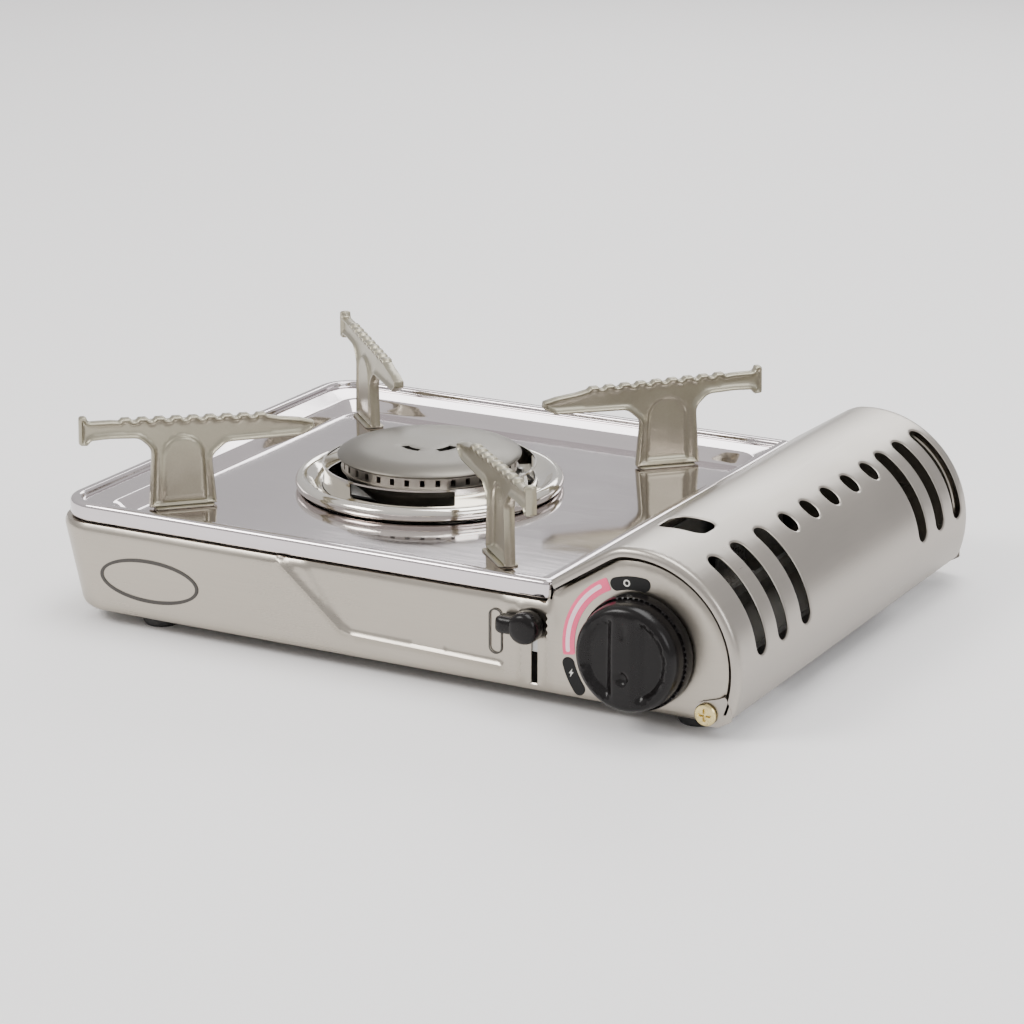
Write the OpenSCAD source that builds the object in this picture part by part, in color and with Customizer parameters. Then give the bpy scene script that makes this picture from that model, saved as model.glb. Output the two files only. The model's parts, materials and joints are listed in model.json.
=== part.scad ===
// Single-burner camping stove with a lying gas cartridge beside the burner.
// X runs to the right along the front, Y to the back and Z up.  The origin is
// on the ground, under the centre of the whole outline.

/* [Overall] */
// Width from the left side of the case to the outer side of the lid
overall_w = 343; // [340:1:348]
// Depth of the body without the knob
body_d = 252; // [250:1:256]
// How far the knob stands out of the front
knob_proud = 16; // [15:1:18]
// Thickness of the pressed sheet
sheet = 0.8; // [0.7:0.1:0.9]

/* [Body] */
// Height of the rubber feet
foot_h = 6; // [5.5:0.5:6]
// Height of the rim's lower edge
rim_low = 47.2; // [47:0.1:47.6]
// Height of the deck's floor
deck_z = 47; // [46.8:0.1:47.2]
// Height of the ledge between the deck's floor and the rim
ledge_z = 52.5; // [52:0.5:53]
// Height of the rim's top
rim_top = 55; // [54.5:0.5:56]
// Width of the folded rim
rim_w = 6; // [5:0.5:7]
// Plan radius of the outer corners
corner_r = 20; // [16:1:24]
// Inward lean of the left wall over its height
left_lean = 10; // [6:1:12]
// How far the rim lies inside the case's front and back
rim_step = 2; // [1:0.5:2.5]
// How far the rim lies inside the case's left side
rim_left = 3.6; // [3:0.2:4]

/* [Lid] */
// Outer radius of the lid
lid_r = 48; // [48:0.1:48.4]
// Height of the lid's axis
lid_z = 28.2; // [28:0.1:28.4]
// Where the lid ends at the lower right, from vertical
lid_end = 112; // [110:1:112]
// Slope of the lid's flat left part, from horizontal
slope = 32.8; // [32:0.1:34]

/* [Burner] */
// Radius of the burner cap
cap_r = 42.4; // [42:0.1:43]
// Radius of the drip ring
drip_r = 62; // [60:1:63]
// Number of flame ports
port_count = 36; // [24:1:40]

/* [Controls] */
// Radius of the gas knob
knob_r = 24.8; // [24:0.1:26]
// Turn of the gas knob from off to lit, in degrees
knob_turn = 118; // [100:1:120]
// Travel of the cartridge lever
lever_travel = 16; // [14:1:16]

/* [Hidden] */
$fn = 64;

left_x = -overall_w / 2;
screw_proud = 2.2;              // the rear hinge screw stands out this far
front_y = knob_proud - (body_d + knob_proud + screw_proud) / 2;
back_y = front_y + body_d;
right_r = 4;                    // plan radius of the deck's right corners
lid_x = overall_w / 2 - lid_r;
skin_gap = 1.2;                 // the case lies this far inside the lid's ends
flange_w = 7;                   // inward flange of the case under the rim
case_front = front_y + skin_gap;
case_back = back_y - skin_gap;
deck_right = lid_x - 39.9;      // right edge of the top plate
bay_left = deck_right + 0.4;    // left edge of the cartridge bay
bay_right = lid_x + 32.5;       // right edge of the bay's floor
floor_top = foot_h + sheet;
arch_r = lid_r - 4.8;           // end plates of the bay
arch_slope_d = lid_r - 7.8;     // distance from the axis to their flat slope
lid_slope_d = lid_r - 3.1;      // distance from the axis to the lid's slope
slot_w = 9.2;                   // width of the long slots in the lid
hinge_x = lid_x + 33.5;
hinge_z = 10.8;
hinge_pin_r = 2;
running = 0.06;                 // radial clearance of a turning pin

burner_x = lid_x - 167.5;
burner_y = front_y + 125;
bowl_z = 36;                    // bottom of the burner bowl
port_z = 57;                    // bottom of the port ring
cap_z = 62;                     // bottom of the burner cap
knob_back = front_y - 0.4;      // back of the gas knob
gas_z = 21;                     // height of the gas tube and the mixing tube

knob_x = lid_x + 2.5;
knob_z = 33;
spindle_r = 3;
cam_r = 8;                      // smallest radius of the igniter cam
cam_rise = 1.94;                // rise of the cam per radian of turn
cam_gap = 0.6;
cam_y = case_front + 4.3;       // front of the cam and of the plunger's line

cartridge_z = 41.3;             // axis of the cartridge
seat_y = front_y + 41;          // face on which the cartridge seats
socket_r = 5.2;
socket_depth = 8;
seal_t = 1;
outlet_y = front_y + 22;        // where the gas leaves the regulator
diaphragm_y = front_y + 18.6;
diaphragm_r = 7.8;
wire_turn_y = front_y + 58;
electrode_x = burner_x + cap_r + 3.3;
electrode_y = burner_y + 5;
wire_z = 42.5;
screw_r = 1.5;
screw_hole = 1.7;
// places of the screws through the case's floor
part_screws = [[bay_left - 8, front_y + 60], [bay_left - 8, back_y - 60]];
bay_screws = [[lid_x - 8, seat_y - 20], [lid_x - 20, back_y - 60], [lid_x + 20, back_y - 60]];
foot_x = [left_x + 50, bay_right - 11];
foot_y = [front_y + 18, back_y - 18];

lever_x = lid_x - 46.9;         // the lever's slot
lever_z = 35.8;
lever_side = 3.4;               // right edge of the lever's plate
lever_y = case_front + sheet + 0.5;
lever_low = floor_top + lever_travel + 0.7;
clamp_ratio = 0.3;              // the clamp's travel over the lever's
finger_r = 1.8;
finger_z = lever_low + 2.5 + 0.4 + finger_r;
support_s = 115.5;              // middle of a support's leg from the burner

steel = [0.78, 0.76, 0.72];
bright = [0.86, 0.85, 0.83];
nickel = [0.72, 0.69, 0.62];
black = [0.05, 0.05, 0.055];
brass = [0.78, 0.62, 0.3];
zinc = [0.62, 0.63, 0.62];

// ---------- shared shapes ----------

// Rectangle whose corners are all round
module round_rect(x0, x1, y0, y1, r) {
    translate([x0 + r, y0]) square([x1 - x0 - 2 * r, y1 - y0]);
    translate([x0, y0 + r]) square([x1 - x0, y1 - y0 - 2 * r]);
    for (x = [x0 + r, x1 - r], y = [y0 + r, y1 - r])
        translate([x, y]) circle(r);
}

// Rectangle with one radius on its left corners and another on its right ones
module two_round_rect(x0, x1, y0, y1, left_r, right_r) {
    translate([x0 + left_r, y0]) square([x1 - x0 - left_r - right_r, y1 - y0]);
    translate([x0, y0 + left_r]) square([left_r + 1, y1 - y0 - 2 * left_r]);
    for (y = [y0 + left_r, y1 - left_r])
        translate([x0 + left_r, y]) circle(left_r);
    if (right_r > 0) {
        translate([x1 - right_r - 1, y0 + right_r])
            square([right_r + 1, y1 - y0 - 2 * right_r]);
        for (y = [y0 + right_r, y1 - right_r])
            translate([x1 - right_r, y]) circle(right_r);
    }
}

// Stands an outline drawn in X and Z upright, y0 to y0 + t
module upright(y0, t) {
    translate([0, y0 + t, 0]) rotate([90, 0, 0]) linear_extrude(t) children();
}

// Round bar along Y
module bar_y(x, y0, z, r, h) {
    translate([x, y0 + h, z]) rotate([90, 0, 0]) cylinder(r = r, h = h);
}

// Round bar along X
module bar_x(x0, y, z, r, h) {
    translate([x0, y, z]) rotate([0, 90, 0]) cylinder(r = r, h = h);
}

// Box from its low and high corners
module block(lo, hi) {
    translate(lo) cube(hi - lo);
}

// Outline of the bay's end: a round right side and a flat slope on the left
module arch_area(r, slope_d, left, bottom) {
    intersection() {
        union() {
            translate([lid_x, lid_z]) circle(r, $fn = 128);
            translate([left, bottom]) square([lid_x - r / 2 - left, 2 * r]);
        }
        translate([lid_x, lid_z]) rotate(slope)
            translate([-3 * r, -6 * r]) square([6 * r, 6 * r + slope_d]);
        translate([left, bottom]) square([4 * r, 4 * r]);
    }
}

// Ring of round bars on a circle about the burner
module around_burner(count, radius, start = 0) {
    for (i = [0 : count - 1])
        translate([burner_x, burner_y, 0])
            rotate(start + i * 360 / count) translate([radius, 0, 0]) children();
}

// ---------- case ----------

module case_hull(shrink, right) {
    x0 = left_x + shrink;
    y0 = case_front + shrink;
    y1 = case_back - shrink;
    r = corner_r - shrink;
    hull() {
        translate([0, 0, rim_low - shrink - 0.1]) linear_extrude(0.1)
            two_round_rect(x0, right, y0, y1, r, 0);
        translate([0, 0, foot_h + shrink]) linear_extrude(0.1)
            two_round_rect(x0 + left_lean, right, y0, y1, r, 0);
    }
}

module floor_holes(places) {
    for (p = places)
        translate([p[0], p[1], foot_h - 1]) cylinder(r = screw_hole, h = sheet + 2);
}

module lower_case() color(steel) {
    vent = [4, 34];
    difference() {
        case_hull(0, bay_left);
        case_hull(sheet, bay_left + 1);
        // opening inside the flange that carries the rim
        translate([0, 0, rim_low - sheet - 1]) linear_extrude(3)
            two_round_rect(left_x + flange_w, bay_left + 1, case_front + flange_w,
                           case_back - flange_w, corner_r - flange_w, 0);
        // slot for the cartridge lever
        block([lever_x - 1.5, case_front - 1, 10], [lever_x + 1.5, case_front + 2, 41]);
        // air inlets in the floor
        for (i = [-3 : 3])
            translate([burner_x + i * 12 - vent[0] / 2, burner_y + 40, foot_h - 1])
                cube([vent[0], vent[1], 3]);
        floor_holes(part_screws);
        floor_holes([for (y = foot_y) [foot_x[0], y]]);
    }
}

// Right part of the case: floor of the cartridge bay and its two end plates
module bay_tray() color(steel) {
    difference() {
        upright(case_front, case_back - case_front)
            arch_area(arch_r, arch_slope_d, bay_left, foot_h);
        // the bay, open above and to the right
        block([bay_left - 1, case_front + sheet, floor_top],
              [bay_right - sheet, case_back - sheet, rim_top + lid_r]);
        block([bay_right - sheet - 1, case_front + sheet, 13],
              [bay_right + lid_r, case_back - sheet, rim_top + lid_r]);
        block([bay_right, case_front + sheet, 0],
              [bay_right + lid_r, case_back - sheet, 14]);
        // the upturned edge stops short of the hinge screws
        for (y = [case_front + sheet, case_back - sheet - 12])
            block([bay_right - sheet - 1, y, floor_top], [bay_right + lid_r, y + 12, 14]);
        bar_y(knob_x, case_front - 1, knob_z, 6, sheet + 2);
        for (y = [case_front - 1, case_back - sheet - 1])
            bar_y(hinge_x, y, hinge_z, hinge_pin_r + 0.2, sheet + 2);
        floor_holes(bay_screws);
        floor_holes([for (y = foot_y) [foot_x[1], y]]);
    }
}

module bay_partition() color(steel) {
    x0 = bay_left - 3;
    difference() {
        union() {
            block([x0, case_front + 2, floor_top], [x0 + sheet, case_back - 8, deck_z - 1.2]);
            block([x0 - 10, case_front + 30, floor_top], [x0, case_back - 20, floor_top + sheet]);
        }
        // window for the clamp's finger, holes for the gas tube and the wire
        block([x0 - 1, case_front + 3, 25], [x0 + 2, case_front + 14, 34]);
        bar_x(x0 - 1, outlet_y, gas_z, 3, 4);
        bar_x(x0 - 1, wire_turn_y, knob_z, 2, 4);
        for (p = part_screws)
            translate([p[0], p[1], floor_top - 1]) cylinder(r = screw_hole, h = 3);
        // slot for the heat panel
        block([x0 - 1, burner_y + 32, deck_z - 4], [x0 + 2, burner_y + 66, deck_z]);
    }
}

module heat_panel() color(bright) {
    y0 = burner_y + 34;
    y1 = burner_y + 64;
    top = deck_z - 1.4;
    x1 = bay_left + 3;
    block([burner_x + 10, y0, top - 1.2], [x1, y1, top]);
    block([x1 - 1.2, y0, floor_top + 0.4], [x1, y1, top]);
    block([x1 - 1.2, y0, floor_top + 0.4], [x1 + 12, y1, floor_top + 1.6]);
}

// Two rails that carry the cartridge's round side
module cartridge_rails() color(zinc) {
    rail = 20;
    for (side = [-1, 1])
        translate([lid_x + side * rail, 0, 0]) {
            difference() {
                block([-3, seat_y + 20, floor_top], [3, back_y - 34, 15]);
                translate([0, back_y - 60, floor_top - 1]) cylinder(r = screw_hole, h = 6.5);
                translate([-side * rail, back_y, cartridge_z])
                    rotate([90, 0, 0]) cylinder(r = 33.3, h = body_d, $fn = 96);
            }
        }
}

// ---------- gas path ----------

module regulator_bracket() color(zinc) {
    y0 = seat_y - 14;
    difference() {
        block([lid_x - 14, y0 - 12, floor_top], [lid_x + 18, y0 + 1.5, floor_top + 1.2]);
        translate([bay_screws[0][0], bay_screws[0][1], floor_top - 1])
            cylinder(r = screw_hole, h = 3);
    }
    difference() {
        block([lid_x - 14, y0, floor_top + 1.2], [lid_x + 18, y0 + 1.5, 52]);
        bar_y(lid_x, y0 - 1, cartridge_z, 10.3, 4);
        bar_y(knob_x, y0 - 1, knob_z, 8, 4);
    }
}

module regulator_body() color(zinc) {
    y0 = front_y + 12;
    y1 = seat_y - 14.3;
    difference() {
        union() {
            bar_y(knob_x, y0, knob_z, 16, y1 - y0);
            bar_y(lid_x, y1 - 5, cartridge_z, 10, seat_y - y1 + 5);
            bar_x(knob_x - 20, diaphragm_y, 36, diaphragm_r, 13);
            bar_x(knob_x - 18, outlet_y, gas_z, 4, 18);
        }
        bar_y(lid_x, seat_y - socket_depth, cartridge_z, socket_r, socket_depth + 1);
        bar_y(knob_x, y0 - 1, knob_z, spindle_r + running, 9);
        bar_y(lid_x, seat_y - socket_depth - seal_t, cartridge_z, 3.6, seal_t + 1);
        bar_x(knob_x - 19, outlet_y, gas_z, 2.1, 8);
        bar_x(knob_x - 21, diaphragm_y, 36, diaphragm_r - 2.4, 5);
    }
}

module regulator_diaphragm() color([0.2, 0.2, 0.2]) {
    bar_x(knob_x - 20.8, diaphragm_y, 36, diaphragm_r, 0.8);
}

module regulator_cap() color(zinc) {
    difference() {
        union() {
            bar_x(knob_x - 23.8, diaphragm_y, 36, diaphragm_r, 3);
            bar_x(knob_x - 28, diaphragm_y, 36, diaphragm_r - 2.4, 5);
        }
        bar_x(knob_x - 26, diaphragm_y, 36, diaphragm_r - 3.6, 6);
    }
}

module inlet_seal() color(black) {
    difference() {
        bar_y(lid_x, seat_y - socket_depth - seal_t, cartridge_z, 3.5, seal_t - 0.1);
        bar_y(lid_x, seat_y - socket_depth - seal_t - 1, cartridge_z, 1.6, seal_t + 2);
    }
}

// Tongue that fits the notch in the cartridge's collar
module notch_guide() color(zinc) {
    y0 = seat_y - 14;
    block([lid_x - 4, y0, 57], [lid_x + 4, seat_y - 1, 58.2]);
    block([lid_x - 4, y0, 52], [lid_x + 4, y0 + 1.2, 57]);
}

module gas_tube() color(brass) {
    x_bend = bay_left - 14;
    x_in = knob_x - 18 + 5;
    bar_x(x_bend, outlet_y, gas_z, 2, x_in - x_bend);
    translate([x_bend, outlet_y, gas_z]) sphere(2);
    bar_y(x_bend, outlet_y, gas_z, 2, burner_y - outlet_y);
    translate([x_bend, burner_y, gas_z]) sphere(2);
    bar_x(x_bend - 10, burner_y, gas_z, 2, 10);
}

module gas_jet() color(brass) {
    x0 = bay_left - 31;
    difference() {
        union() {
            bar_x(x0 + 4, burner_y, gas_z, 4, 8);
            bar_x(x0, burner_y, gas_z, 2.6, 4);
        }
        bar_x(x0 + 5, burner_y, gas_z, 2.1, 8);
        bar_x(x0 - 1, burner_y, gas_z, 0.6, 8);
    }
}

module mixing_tube() color(zinc) {
    x1 = bay_left - 32;
    difference() {
        union() {
            bar_x(burner_x, burner_y, gas_z, 9, x1 - burner_x);
            bar_x(x1 - 8, burner_y, gas_z, 12, 8);
            translate([burner_x, burner_y, gas_z - 10]) cylinder(r = 12, h = bowl_z - gas_z + 10);
        }
        bar_x(burner_x, burner_y, gas_z, 7.5, x1 - burner_x + 1);
        bar_x(x1 - 7, burner_y, gas_z, 10.5, 8);
        translate([burner_x, burner_y, gas_z - 8.5]) cylinder(r = 10.5, h = 40);
    }
}

// ---------- burner ----------

module burner_bracket() color(zinc) {
    reach = 57;
    z0 = 39;
    difference() {
        union() {
            translate([burner_x - reach, burner_y - 10, z0]) cube([2 * reach, 20, 1.2]);
            for (side = [-1, 1])
                translate([burner_x + side * reach - (side > 0 ? 1.2 : 0), burner_y - 10, z0])
                    cube([1.2, 20, deck_z - sheet - 0.2 - z0]);
        }
        translate([burner_x, burner_y, z0 - 1]) cylinder(r = 23.5, h = 4);
        bar_x(burner_x + reach - 3, electrode_y, wire_z, 1.6, 5);
    }
}

module burner_bowl() color(zinc) {
    translate([burner_x, burner_y, 0]) rotate_extrude($fn = 96)
        polygon([[10.6, bowl_z], [14, bowl_z], [23, bowl_z + 4], [35, 50], [39, 53],
                 [39, port_z], [37.5, port_z], [37.5, 53.8], [34, 51.4],
                 [21.5, bowl_z + 5.5], [13.4, bowl_z + 1.5], [10.6, bowl_z + 1.5]]);
}

module port_ring() color([0.62, 0.6, 0.57]) {
    difference() {
        translate([burner_x, burner_y, port_z]) difference() {
            cylinder(r = cap_r - 2, h = cap_z - port_z, $fn = 96);
            translate([0, 0, -1]) cylinder(r = cap_r - 5.6, h = 10, $fn = 96);
        }
        around_burner(port_count, cap_r - 7)
            translate([0, -1.1, port_z + 1]) cube([8, 2.2, 3]);
    }
}

module burner_cap() color([0.7, 0.68, 0.64]) {
    difference() {
        translate([burner_x, burner_y, 0]) rotate_extrude($fn = 96)
            polygon([[0, cap_z], [cap_r - 1.5, cap_z], [cap_r, cap_z + 0.8], [cap_r, cap_z + 1.8],
                     [cap_r - 2, cap_z + 3], [cap_r - 9, cap_z + 5], [0, cap_z + 5.4]]);
        // two bowed slits near the middle
        for (start = [-132, -42])
            translate([burner_x, burner_y, cap_z + 2])
                rotate(start) rotate_extrude(angle = 48, $fn = 96)
                    translate([10.6, 0]) square([2.4, 5]);
    }
}

// Slotted guard ring around the burner
module burner_collar() color(steel) {
    outer = cap_r + 7;
    z0 = deck_z + 0.4;
    top = 59;
    difference() {
        translate([burner_x, burner_y, z0]) difference() {
            cylinder(r = outer, h = top - z0, $fn = 128);
            translate([0, 0, -1]) cylinder(r = outer - 0.8, h = 30, $fn = 128);
        }
        for (i = [0 : 3])
            translate([burner_x, burner_y, top - 7.5])
                rotate(-77 - 30 + i * 90) rotate_extrude(angle = 60, $fn = 128)
                    translate([outer - 3, 0]) square([6, 6.7]);
    }
}

module drip_ring() color(bright) {
    translate([burner_x, burner_y, 0]) rotate_extrude($fn = 128)
        difference() {
            union() {
                polygon([[cap_r + 7.3, deck_z + 0.3], [drip_r - 5, deck_z + 2.4],
                         [drip_r - 5, deck_z + 3.4], [cap_r + 7.3, deck_z + 1.3]]);
                translate([drip_r - 3.2, deck_z + 3.5]) circle(3.2, $fn = 48);
            }
            translate([drip_r - 3.2, deck_z + 3.5]) circle(2.4, $fn = 48);
        }
}

// ---------- ignition ----------

module piezo_igniter() color(black) {
    x1 = knob_x - 18;
    difference() {
        block([x1 - 16, cam_y - 2.5, knob_z - 6], [x1, cam_y + 5, knob_z + 6]);
        bar_x(x1 - 12, cam_y + 2, knob_z, 2.6, 14);
    }
}

module igniter_plunger() color([0.85, 0.85, 0.8]) {
    x1 = knob_x - cam_r - cam_gap;
    bar_x(knob_x - 18 - 4, cam_y + 2, knob_z, 2.5, x1 - knob_x + 22);
}

// Radius of the spiral cam in the direction a, seen from the front
function cam_radius(a) =
    let (low = 180 - knob_turn - 4)
    a > 180 ? cam_r
    : a >= low ? cam_r + cam_rise * (180 - a) * PI / 180
    : a >= low - 40 ? cam_r + cam_rise * (180 - low) * PI / 180 * (a - low + 40) / 40
    : cam_r;

module igniter_cam() color([0.85, 0.85, 0.8]) {
    step = 4;
    upright(cam_y, 4)
        translate([knob_x, knob_z]) difference() {
            polygon([for (a = [0 : step : 360 - step]) cam_radius(a) * [cos(a), sin(a)]]);
            circle(spindle_r + 0.05);
        }
}

// Insulated wire from the igniter to the electrode, clipped inside the case
module ignition_wire() color([0.75, 0.2, 0.15]) {
    r = 1.1;
    x_bay = bay_left + 1;
    x_case = bay_left - 20;
    y0 = cam_y + 2;
    bar_x(x_bay, y0, knob_z, r, knob_x - 34 - x_bay);
    translate([x_bay, y0, knob_z]) sphere(r);
    bar_y(x_bay, y0, knob_z, r, wire_turn_y - y0);
    translate([x_bay, wire_turn_y, knob_z]) sphere(r);
    bar_x(x_case, wire_turn_y, knob_z, r, x_bay - x_case);
    translate([x_case, wire_turn_y, knob_z]) sphere(r);
    translate([x_case, wire_turn_y, knob_z]) cylinder(r = r, h = wire_z - knob_z);
    translate([x_case, wire_turn_y, wire_z]) sphere(r);
    bar_y(x_case, wire_turn_y, wire_z, r, electrode_y - wire_turn_y);
    translate([x_case, electrode_y, wire_z]) sphere(r);
    bar_x(electrode_x, electrode_y, wire_z, r, x_case - electrode_x);
    translate([electrode_x, electrode_y, wire_z]) sphere(r);
    translate([electrode_x, electrode_y, wire_z]) cylinder(r = r, h = 1.5);
}

module electrode_bracket() color(steel) {
    difference() {
        block([electrode_x - 4, electrode_y - 4, 45], [electrode_x + 6, electrode_y + 4, 45.8]);
        translate([electrode_x, electrode_y, 44]) cylinder(r = 2.6, h = 4);
    }
    block([electrode_x + 5.2, electrode_y - 4, 40.2], [electrode_x + 6, electrode_y - 2, 45]);
}

module electrode_ceramic() color([0.93, 0.92, 0.88]) {
    translate([electrode_x, electrode_y, 0]) difference() {
        union() {
            translate([0, 0, 44]) cylinder(r = 2.5, h = 11);
            translate([0, 0, 55]) cylinder(r1 = 2.5, r2 = 1.6, h = 3);
        }
        translate([0, 0, 46]) cylinder(r = 0.7, h = 14);
    }
}

module electrode_tip() color(zinc) {
    translate([electrode_x, electrode_y, 0]) {
        translate([0, 0, 46]) cylinder(r = 0.6, h = 14);
        translate([0, 0, 60]) sphere(0.6);
        translate([-2.6, 0, 60]) rotate([0, 90, 0]) cylinder(r = 0.6, h = 2.6);
    }
}

// ---------- deck ----------

module deck_outline(inset) {
    step = rim_step + inset;
    two_round_rect(left_x + rim_left + inset, deck_right - inset, case_front + step,
                   case_back - step, corner_r - step, max(right_r - inset, 1));
}

// Basin pressed into the deck, its sides leaning outwards
module basin_hull(grow, low) {
    x1 = deck_right - rim_w - 0.4;
    y0 = case_front + rim_step + rim_w + 1.6;
    hull() {
        translate([0, 0, ledge_z - 0.1 + (grow > 0 ? 0 : 1)]) linear_extrude(0.1)
            round_rect(left_x + 24 - grow, x1 + grow, y0 - grow,
                       back_y - 24 + grow, 12);
        translate([0, 0, low]) linear_extrude(0.1)
            round_rect(left_x + 31 - grow, x1 - 2 + grow, y0 + 2.4 - grow,
                       back_y - 31 + grow, 12);
    }
}

module top_plate() color(bright) {
    difference() {
        union() {
            // folded rim
            translate([0, 0, rim_low]) linear_extrude(rim_top - rim_low)
                difference() { deck_outline(0); deck_outline(sheet); }
            translate([0, 0, rim_top - sheet]) linear_extrude(sheet)
                difference() { deck_outline(0); deck_outline(rim_w); }
            translate([0, 0, ledge_z - sheet]) linear_extrude(rim_top - ledge_z + sheet)
                difference() { deck_outline(rim_w - sheet); deck_outline(rim_w); }
            // ledge
            translate([0, 0, ledge_z - sheet]) linear_extrude(sheet) deck_outline(rim_w - 0.4);
            basin_hull(sheet, deck_z - sheet);
        }
        basin_hull(0, deck_z);
        translate([burner_x, burner_y, deck_z - 5]) cylinder(r = drip_r - 6, h = 9);
        around_burner(4, support_s, 45) {
            for (s = [-9, 9]) translate([s, 0, deck_z - 3]) cylinder(r = screw_hole, h = 6);
        }
    }
}

// ---------- pan supports ----------

// Outline of a support: s is the distance from the burner's axis
module support_outline() {
    offset(r = 1.2, $fn = 24) offset(delta = -1.2)
        offset(r = -4, $fn = 32) offset(delta = 4) {
            polygon([[100, deck_z + 0.8], [131, deck_z + 0.8], [129.2, 76], [134, 80.5],
                     [148, 82], [157.5, 81.5], [158.6, 79], [161.8, 79], [161.6, 92.5],
                     [158.8, 92.5], [158, 89.6], [147, 89.4], [141, 87.6], [77, 86],
                     [63, 84.2], [54.6, 81.8], [54.2, 79.6], [59, 76.6], [97, 77],
                     [102, 72]]);
        }
    for (i = [0 : 8])
        translate([79 + i * 7.7, 85.6 + i * 0.22]) circle(2.6, $fn = 24);
}

module pan_support(turn) color(nickel) {
    web = 1.2;
    flange = 5;
    translate([burner_x, burner_y, 0]) rotate(turn) {
        upright(-web / 2, web) support_outline();
        upright(-flange / 2, flange) difference() {
            support_outline();
            offset(delta = -web) support_outline();
        }
        // foot plate with its two rivet holes
        difference() {
            block([support_s - 15, -5, deck_z], [support_s + 13.5, 5, deck_z + 1]);
            for (s = [-9, 9])
                translate([support_s + s, 0, deck_z - 1]) cylinder(r = screw_hole, h = 3);
        }
    }
}

module pan_support_1() pan_support(225);
module pan_support_2() pan_support(315);
module pan_support_3() pan_support(45);
module pan_support_4() pan_support(135);

// Rivets through the deck and the foot plates, their heads below
module support_rivets() color(zinc) {
    around_burner(4, support_s, 45) {
        for (s = [-9, 9]) {
            translate([s, 0, deck_z - sheet - 1]) cylinder(r = 3, h = 1);
            translate([s, 0, deck_z - sheet]) cylinder(r = 1.6, h = sheet + 0.7);
        }
    }
}

// ---------- lid ----------

module lid_trim() {
    // keeps the lid above its left edge and before its end at the lower right
    translate([bay_left + 0.6, 51]) square([100, 100]);
    intersection() {
        translate([lid_x, -10]) square([100, 100]);
        translate([lid_x, lid_z]) rotate(90 - lid_end) square([100, 200]);
    }
}

// Slot along the lid's curve, from a0 to a1 degrees past vertical
module lid_slot(y, width, a0, a1) {
    translate([lid_x, y + width / 2, lid_z]) rotate([90, 0, 0])
        rotate(90 - a1) linear_extrude(width)
            difference() {
                intersection() {
                    circle(lid_r + 4);
                    square([2 * lid_r, 2 * lid_r]);
                    rotate(a1 - a0 - 90) square([2 * lid_r, 2 * lid_r]);
                }
                circle(lid_r - 8);
            }
}

// Ear that carries the lid on its hinge screw
module lid_ear() {
    translate([hinge_x, hinge_z]) circle(5.4);
    translate([hinge_x, hinge_z - 3]) square([8.6, 6]);
}

module lid() color(steel) {
    mid_y = (front_y + back_y) / 2;
    difference() {
        upright(front_y, body_d) {
            intersection() {
                arch_area(lid_r, lid_slope_d, bay_left - 2, 0);
                lid_trim();
            }
            lid_ear();
        }
        upright(front_y + sheet, body_d - 2 * sheet)
            arch_area(lid_r - sheet, lid_slope_d - sheet, bay_left - 4, -2);
        upright(front_y - 1, body_d + 2) difference() {
            arch_area(arch_r + 0.5, arch_slope_d + 0.5, bay_left - 6, -4);
            lid_ear();
        }
        bar_y(hinge_x, front_y - 1, hinge_z, hinge_pin_r + running, body_d + 2);
        // window over the cartridge
        lid_slot(mid_y - 82.5, 17, -9, 16);
        for (y = [-103.5, -82, -58.5, 72.5, 93, 114])
            lid_slot(mid_y + y * 0.995, slot_w, 29, 84);
        for (i = [0 : 4])
            lid_slot(mid_y - 34 + i * 22, slot_w - 0.4, 29.5, 41);
    }
}

// Hinge screw with its nut: out is -1 for the front one, 1 for the rear one
module hinge_screw(out) {
    face = out < 0 ? front_y : back_y;
    wall = out < 0 ? case_front : case_back;
    translate([hinge_x, face + out * 0.4, hinge_z]) rotate([-90 * out, 0, 0]) {
        cylinder(r = 4.8, h = screw_proud - 0.4);
        translate([0, 0, -skin_gap - 3.9]) cylinder(r = hinge_pin_r, h = skin_gap + 4);
    }
    translate([hinge_x, wall - out * (sheet + 0.2), hinge_z]) rotate([90 * out, 0, 0])
        cylinder(r = 3.6, h = 2.4);
}

module hinge_screws() color(brass) {
    for (out = [-1, 1]) hinge_screw(out);
}

// ---------- controls ----------

module gas_knob() color(black) {
    y_front = front_y - knob_proud;
    skirt = 5;
    difference() {
        union() {
            bar_y(knob_x, knob_back - skirt, knob_z, knob_r, skirt);
            bar_y(knob_x, y_front, knob_z, knob_r - 3, knob_back - skirt - y_front + 1);
        }
        bar_y(knob_x, knob_back - 9, knob_z, spindle_r + 0.05, 12);
        // finger hollows on both sides of the grip
        for (side = [-1, 1])
            translate([knob_x + side * 18.5, y_front - 1, knob_z - 18])
                translate([-10, 0, 0]) cube([20, 6, 36]);
    }
}

module knob_spindle() color(zinc) {
    y0 = knob_back - 8.8;
    bar_y(knob_x, y0, knob_z, spindle_r, front_y + 12 + 7.6 - y0);
}

module lever_plate() color(zinc) {
    top = deck_z - 1.5;
    block([lever_x - 9, lever_y, lever_low], [lever_x + lever_side, lever_y + 1, top]);
    // stub that passes through the slot
    block([lever_x - 1, case_front - 3, lever_z - 3],
          [lever_x + 1, lever_y + 0.5, lever_z + 3]);
    // side web whose sloping edge pulls the clamp's finger forwards
    translate([lever_x + lever_side, lever_y, 0]) rotate([90, 0, -90]) linear_extrude(1.2)
        polygon([[-0.5, lever_low], [-14, lever_low], [-14, top],
                 [clamp_ratio * (top - finger_z) - 11, top],
                 [clamp_ratio * (lever_low + 2.5 - finger_z) - 11, lever_low + 2.5],
                 [-0.5, lever_low + 2.5]]);
}

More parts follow.
